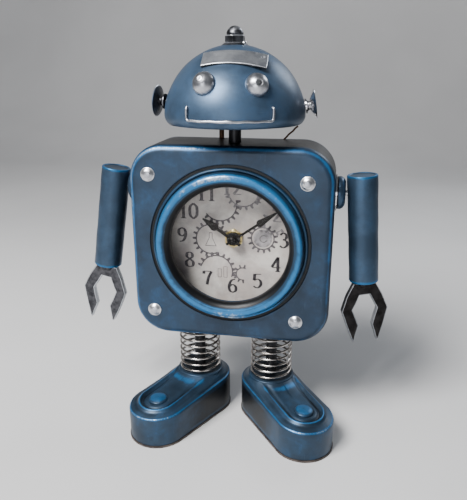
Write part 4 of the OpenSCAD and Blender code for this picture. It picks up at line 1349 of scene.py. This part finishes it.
def claws():
    """Flat pincer plates cut from thick steel, with uneven hand-filed edges."""
    for side, sign in SIDES.items():
        m = arm_frame(side)
        turn = math.radians(15) if side == "right" else 0.0
        down = ARM_LEN + 1.2
        base = m @ Matrix.Translation((0, 0, down)) @ Matrix.Rotation(TURN_CLOCKWISE * turn, 4, "Z")
        # X across the claw, Y down the arm, Z through the plate
        plane = base @ Matrix(((1, 0, 0, 0), (0, 0, 1, 0), (0, 1, 0, 0), (0, 0, 0, 1)))
        half = [
            (6.6, 0), (10.6, 7.8), (14.3, 17), (11.5, 26.8), (8.2, 37.4), (7.2, 38.4), (5.9, 33.5),
            (4.3, 27.5), (5.9, 22.3), (7.4, 17), (5.4, 12.6), (3.0, 7.6)
        ]
        rng = random.Random(5 + sign)
        points = []
        for x, y in half + [(-x, y) for x, y in half[::-1]]:
            jitter = 0.0 if y < 1 else 0.22
            points.append((x + rng.uniform(-jitter, jitter), y + rng.uniform(-jitter, jitter)))
        thickness = 4
        plane = plane @ Matrix.Translation((0, 0, -thickness / 2))
        obj = prism(f"claw_{side}_plate", points, plane, thickness, bevel=0.45, segments=3)
        # the claw at +X takes the darker copy of the steel: painted shade
        steel = CLAW if side == "left" else CLAW_PAINTED_SHADE
        finish_piece(obj, f"hand_{side}", steel, f"claw_{side}", slot="dark_steel")
        stem = soften([(0, -2.5, 0), (4, -2.5, 0), (4, 1.4, 0.2), (2.8, 3.2, 0.3), (0, 3.4, 0)], 0.4)
        obj = lathe(f"claw_{side}_stem", base, stem, steps=40, wobble=0.1, wobble_size=2)
        finish_piece(obj, f"hand_{side}", steel, slot="dark_steel")


# ---------------------------------------------------------------- legs and feet


def springs():
    for side in SIDES:
        lo, hi = box_mm(f"leg_spring_{side}")
        c = (lo + hi) / 2
        wire = 0.75
        r = (hi.x - lo.x) / 2 - wire
        z0, z1 = lo.z + wire, hi.z - wire
        turns, steps, close = 8, 48, 0.6
        path = []
        for i in range(turns * steps + 1):
            t = i / steps
            u = min(max((t - close) / (turns - 2 * close), 0), 1)
            z = z0 + 0.25 * min(t / close, 1) + 0.25 * max(
                (t - turns + close) / close, 0
            ) + (z1 - z0 - 0.5) * u
            a = 2 * math.pi * t
            path.append((c.x + r * math.cos(a), c.y + r * math.sin(a), z))
        obj = sweep(f"spring_{side}_coil", path, wire, sides=10, sharp=60)
        finish_piece(obj, "body", SPRING, f"leg_spring_{side}", slot="polished_steel")


def stadium(inset, n=240):
    """Foot outline moved in by inset: X across, Y towards the toe. Points match for any inset."""
    r = max(FOOT_R - inset, 0.04)
    length = FOOT_L + HEEL_Y
    around = math.pi * FOOT_R
    total = 2 * around + 2 * length
    out = []
    for k in range(n):
        s = (k + 0.5) / n * total
        if s < around:
            a = s / FOOT_R
            out.append((r * math.cos(a), FOOT_L + r * math.sin(a)))
        elif s < around + length:
            out.append((-r, FOOT_L - (s - around)))
        elif s < 2 * around + length:
            a = (s - around - length) / FOOT_R
            out.append((-r * math.cos(a), -HEEL_Y - r * math.sin(a)))
        else:
            out.append((r, -HEEL_Y + (s - 2 * around - length)))
    return out


def feet():
    slope = (HEEL_Z - TOE_Z) / (FOOT_L + HEEL_Y)
    for side, sign in SIDES.items():
        leg = middle(f"leg_rod_{side}")
        turn = Matrix.Rotation(sign * FOOT_TURN[side], 4, "Z")
        place = Matrix.Translation((leg.x, leg.y, 0)) @ turn @ Matrix.Diagonal((1, -1, 1, 1))

        def top(x, y, d):
            """Height and wear of the foot's top at a distance d from its edge, with a painted highlight on
            the front of the ankle flare.
            """
            z = TOE_Z + (FOOT_L - y) * slope
            band = 0.9 * smooth_step(d, 0.8, 5.0)
            ridge = 1.7 * hill(d, 6.3, 1.15)
            channel = -0.5 * hill(d, 8.6, 1.3) + 0.5 * smooth_step(d, 8.8, 11)
            z += band + ridge + channel
            w = (0.85 + 0.25 * smooth_step(y, 30, 48)) * hill(d, 6.1, 0.62)
            w -= 0.65 * hill(d, 8.7, 1.2) + 0.42 * hill(d, 3.6, 1.5)
            rho = math.hypot(x, y)
            ahead = max(0.0, y) / max(rho, 0.01)
            reach = 2.0 + 6.4 * ahead**2
            flare = math.exp(-max(rho - ANKLE_R + 0.4, 0) / reach)
            seat = ANKLE_Z - 0.6
            flare *= smooth_step(d, -0.5, 2.2) if rho > ANKLE_R else 1.0
            z_new = z + (seat - z) * flare
            # the front of the ankle flare gets raised wear values: a painted reflection of the light on the
            # slope, shown as bright blue and silver
            w = w * (1 - flare) + (0.15 + 0.60 * ahead**2) * hill(rho, ANKLE_R + 3.6, 2.8)
            return z_new, w

        rows, wear = [], []

        def ring(inset, z=None, w=0.0):
            pts, worn = [], []
            for x, y in stadium(inset):
                if z is None:
                    zz, ww = top(x, y, inset)
                else:
                    zz = z(x, y) if callable(z) else z
                    ww = w(x, y) if callable(w) else w
                pts.append(place @ Vector((x, y, zz)))
                worn.append(ww)
            rows.append(pts)
            wear.append(worn)

        def edge_height(x, y):
            return TOE_Z + (FOOT_L - y) * slope

        def side_wear(x, y):
            return -0.72 + 1.02 * smooth_step(y, 18, 50)

        def rounded_edge(a):
            """Height and wear round the top edge at an angle a."""
            return (
                lambda x, y: edge_height(x, y) - 1.5 + 1.5 * math.sin(a),
                lambda x, y: 0.10 + (0.65 + 0.40 * smooth_step(y, 30, 50)) * math.sin(2 * a) ** 2,
            )

        ring(12, 1.2, -1.0)
        ring(0.6, 1.2, -0.9)
        ring(0.05, 1.5, 0.25)
        for k in range(1, 7):
            ring(0.0, lambda x, y, k=k: 1.5 + (edge_height(x, y) - 3.2) * k / 7, side_wear)
        for k in range(6):
            a = math.radians(90 * k / 5)
            ring(1.5 * (1 - math.cos(a)), *rounded_edge(a))
        d = 2.0
        while d < FOOT_R - 0.2:
            ring(d)
            d += 0.42
        ring(FOOT_R)
        obj = loft(f"foot_{side}_skin", rows, wear=wear, wobble=0.14, wobble_size=10, sharp=55)
        finish_piece(obj, f"foot_{side}", FOOT_BLUE, f"foot_{side}", slot="blue_paint")

        seat = Matrix.Translation((leg.x, leg.y, 0))
        collar = soften(
            [
                (3.2, 24, -1), (ANKLE_R + 0.3, 24, -0.5), (ANKLE_R + 0.1, ANKLE_Z - 0.4, 0.05),
                (ANKLE_R - 0.6, ANKLE_Z - 0.02, 0.15), (ANKLE_R - 2.2, ANKLE_Z - 0.1, -0.4),
                (3.2, ANKLE_Z - 0.2, -0.8)
            ],
            0.3, 3
        )
        finish_piece(
            lathe(f"ankle_{side}_seat", seat, collar, closed=True, steps=72), f"foot_{side}", FOOT_BLUE,
            slot="blue_paint"
        )

        toe = place @ Vector((0, FOOT_L, 0))
        tilt = place.to_3x3() @ Vector((0, slope, 1)).normalized()
        m = frame_at((toe.x, toe.y, TOE_Z), tilt)
        button = soften(
            [
                (0, -2, 0), (7.4, -2, -1), (7.2, 0.8, -0.9, 0.8), (6.0, 1.3, -0.5, 0.6),
                (5.7, 2.6, 0.45, 1.6), (3.4, 3.6, 0.72, 1.8), (0, 3.9, 0.62)
            ],
            0.5, 5
        )
        finish_piece(
            lathe(f"toe_button_{side}", m, button, steps=56, wobble=0.14, wobble_size=4), f"foot_{side}",
            FOOT_BLUE, slot="blue_paint"
        )


def neck_lead():
    """Thin brown wire that comes out of the body's top and bends away behind the head."""
    start = Vector((CX + 27, CY + 16.4, TOP_Z - WALL))
    lean, turn = math.radians(46), math.radians(-10)
    direction = Vector((math.sin(lean) * math.cos(turn), math.sin(lean) * math.sin(turn), math.cos(lean)))
    path = [start, start + Vector((0, 0, 1.9))]
    for k in range(1, 13):
        path.append(
            start + Vector((0, 0, 2.0)) + direction * (11 * k / 12) + Vector((0.18 * math.sin(k * 1.1), 0, 0))
        )
    obj = sweep("neck_lead_wire", path, 0.58, sides=10)
    return finish_piece(obj, "body", BROWN, "neck_lead", slot="brown_steel")


body_shell()
back_cover()
bezel_ring()
rivets()
dial_print()
hand_nut()
head_dome()
brow_plate()
eyes()
mouth()
ears()
finial()
arms()
claws()
springs()
feet()
neck_lead()


# ---------------------------------------------------------------- floor, light and camera


def floor():
    g = Graph("floor_paper")
    cloud = g.noise(3.0, detail=3)
    g.colour(g.mix(g.ramp(cloud, 0.3, 0.7), (0.60, 0.60, 0.61), (0.66, 0.66, 0.67)))
    g.rough(g.span(cloud, 0.55, 0.7))
    mesh = bpy.data.meshes.new("floor")
    size, back, rise, bend = 3.0, 0.9, 2.2, 0.5
    rows = [(-size, 0.0), (back, 0.0)]
    for a in range(10, 91, 10):
        t = math.radians(a)
        rows.append((back + bend * math.sin(t), bend * (1 - math.cos(t))))
    rows.append((back + bend, rise))
    verts = [(x, y, z) for y, z in rows for x in (-size, size)]
    faces = [(2 * i, 2 * i + 1, 2 * i + 3, 2 * i + 2) for i in range(len(rows) - 1)]
    mesh.from_pydata(verts, [], faces)
    mesh.shade_smooth()
    obj = bpy.data.objects.new("floor", mesh)
    obj.data.materials.append(g.material)
    bpy.context.scene.collection.objects.link(obj)


def area_light(name, place, target, size, power, tone=(1, 1, 1)):
    data = bpy.data.lights.new(name, "AREA")
    data.shape = "RECTANGLE"
    data.size, data.size_y = size
    data.energy = power
    data.color = tone
    obj = bpy.data.objects.new(name, data)
    obj.location = place
    obj.rotation_euler = (Vector(target) - Vector(place)).to_track_quat("-Z", "Y").to_euler()
    bpy.context.scene.collection.objects.link(obj)


def studio():
    world = bpy.data.worlds.new("studio")
    world.use_nodes = True
    background = world.node_tree.nodes["Background"]
    background.inputs["Color"].default_value = (0.80, 0.84, 0.90, 1)
    background.inputs["Strength"].default_value = 0.16
    bpy.context.scene.world = world
    target = (0, 0, 0.13)
    area_light("key", (-0.36, -0.54, 0.86), target, (0.40, 0.40), 23.0, (1.0, 0.99, 0.97))
    area_light("front", (-0.10, -1.0, 0.20), target, (0.5, 0.3), 2.0, (0.95, 0.97, 1.0))
    area_light("rim", (0.45, 0.55, 0.60), target, (0.3, 0.3), 2.0, (0.9, 0.95, 1.0))


def camera():
    """Zero-shift camera at the photograph's angle."""
    azimuth, elevation = math.radians(10.06), math.radians(18.48)
    distance = 334.98
    target = Vector((CX - 0.85, CY, 112.24))
    back = Vector(
        (
            math.sin(azimuth) * math.cos(elevation), -math.cos(azimuth) * math.cos(elevation),
            math.sin(elevation)
        )
    )
    data = bpy.data.cameras.new("camera")
    data.sensor_fit = "HORIZONTAL"
    data.sensor_width = 36
    data.lens = 42.10
    data.clip_start, data.clip_end = 0.01, 20
    obj = bpy.data.objects.new("camera", data)
    obj.location = (target + back * distance) * MM
    obj.rotation_euler = (-back).to_track_quat("-Z", "Y").to_euler()
    bpy.context.scene.collection.objects.link(obj)
    bpy.context.scene.camera = obj


floor()
studio()
camera()

bpy.context.view_layer.update()
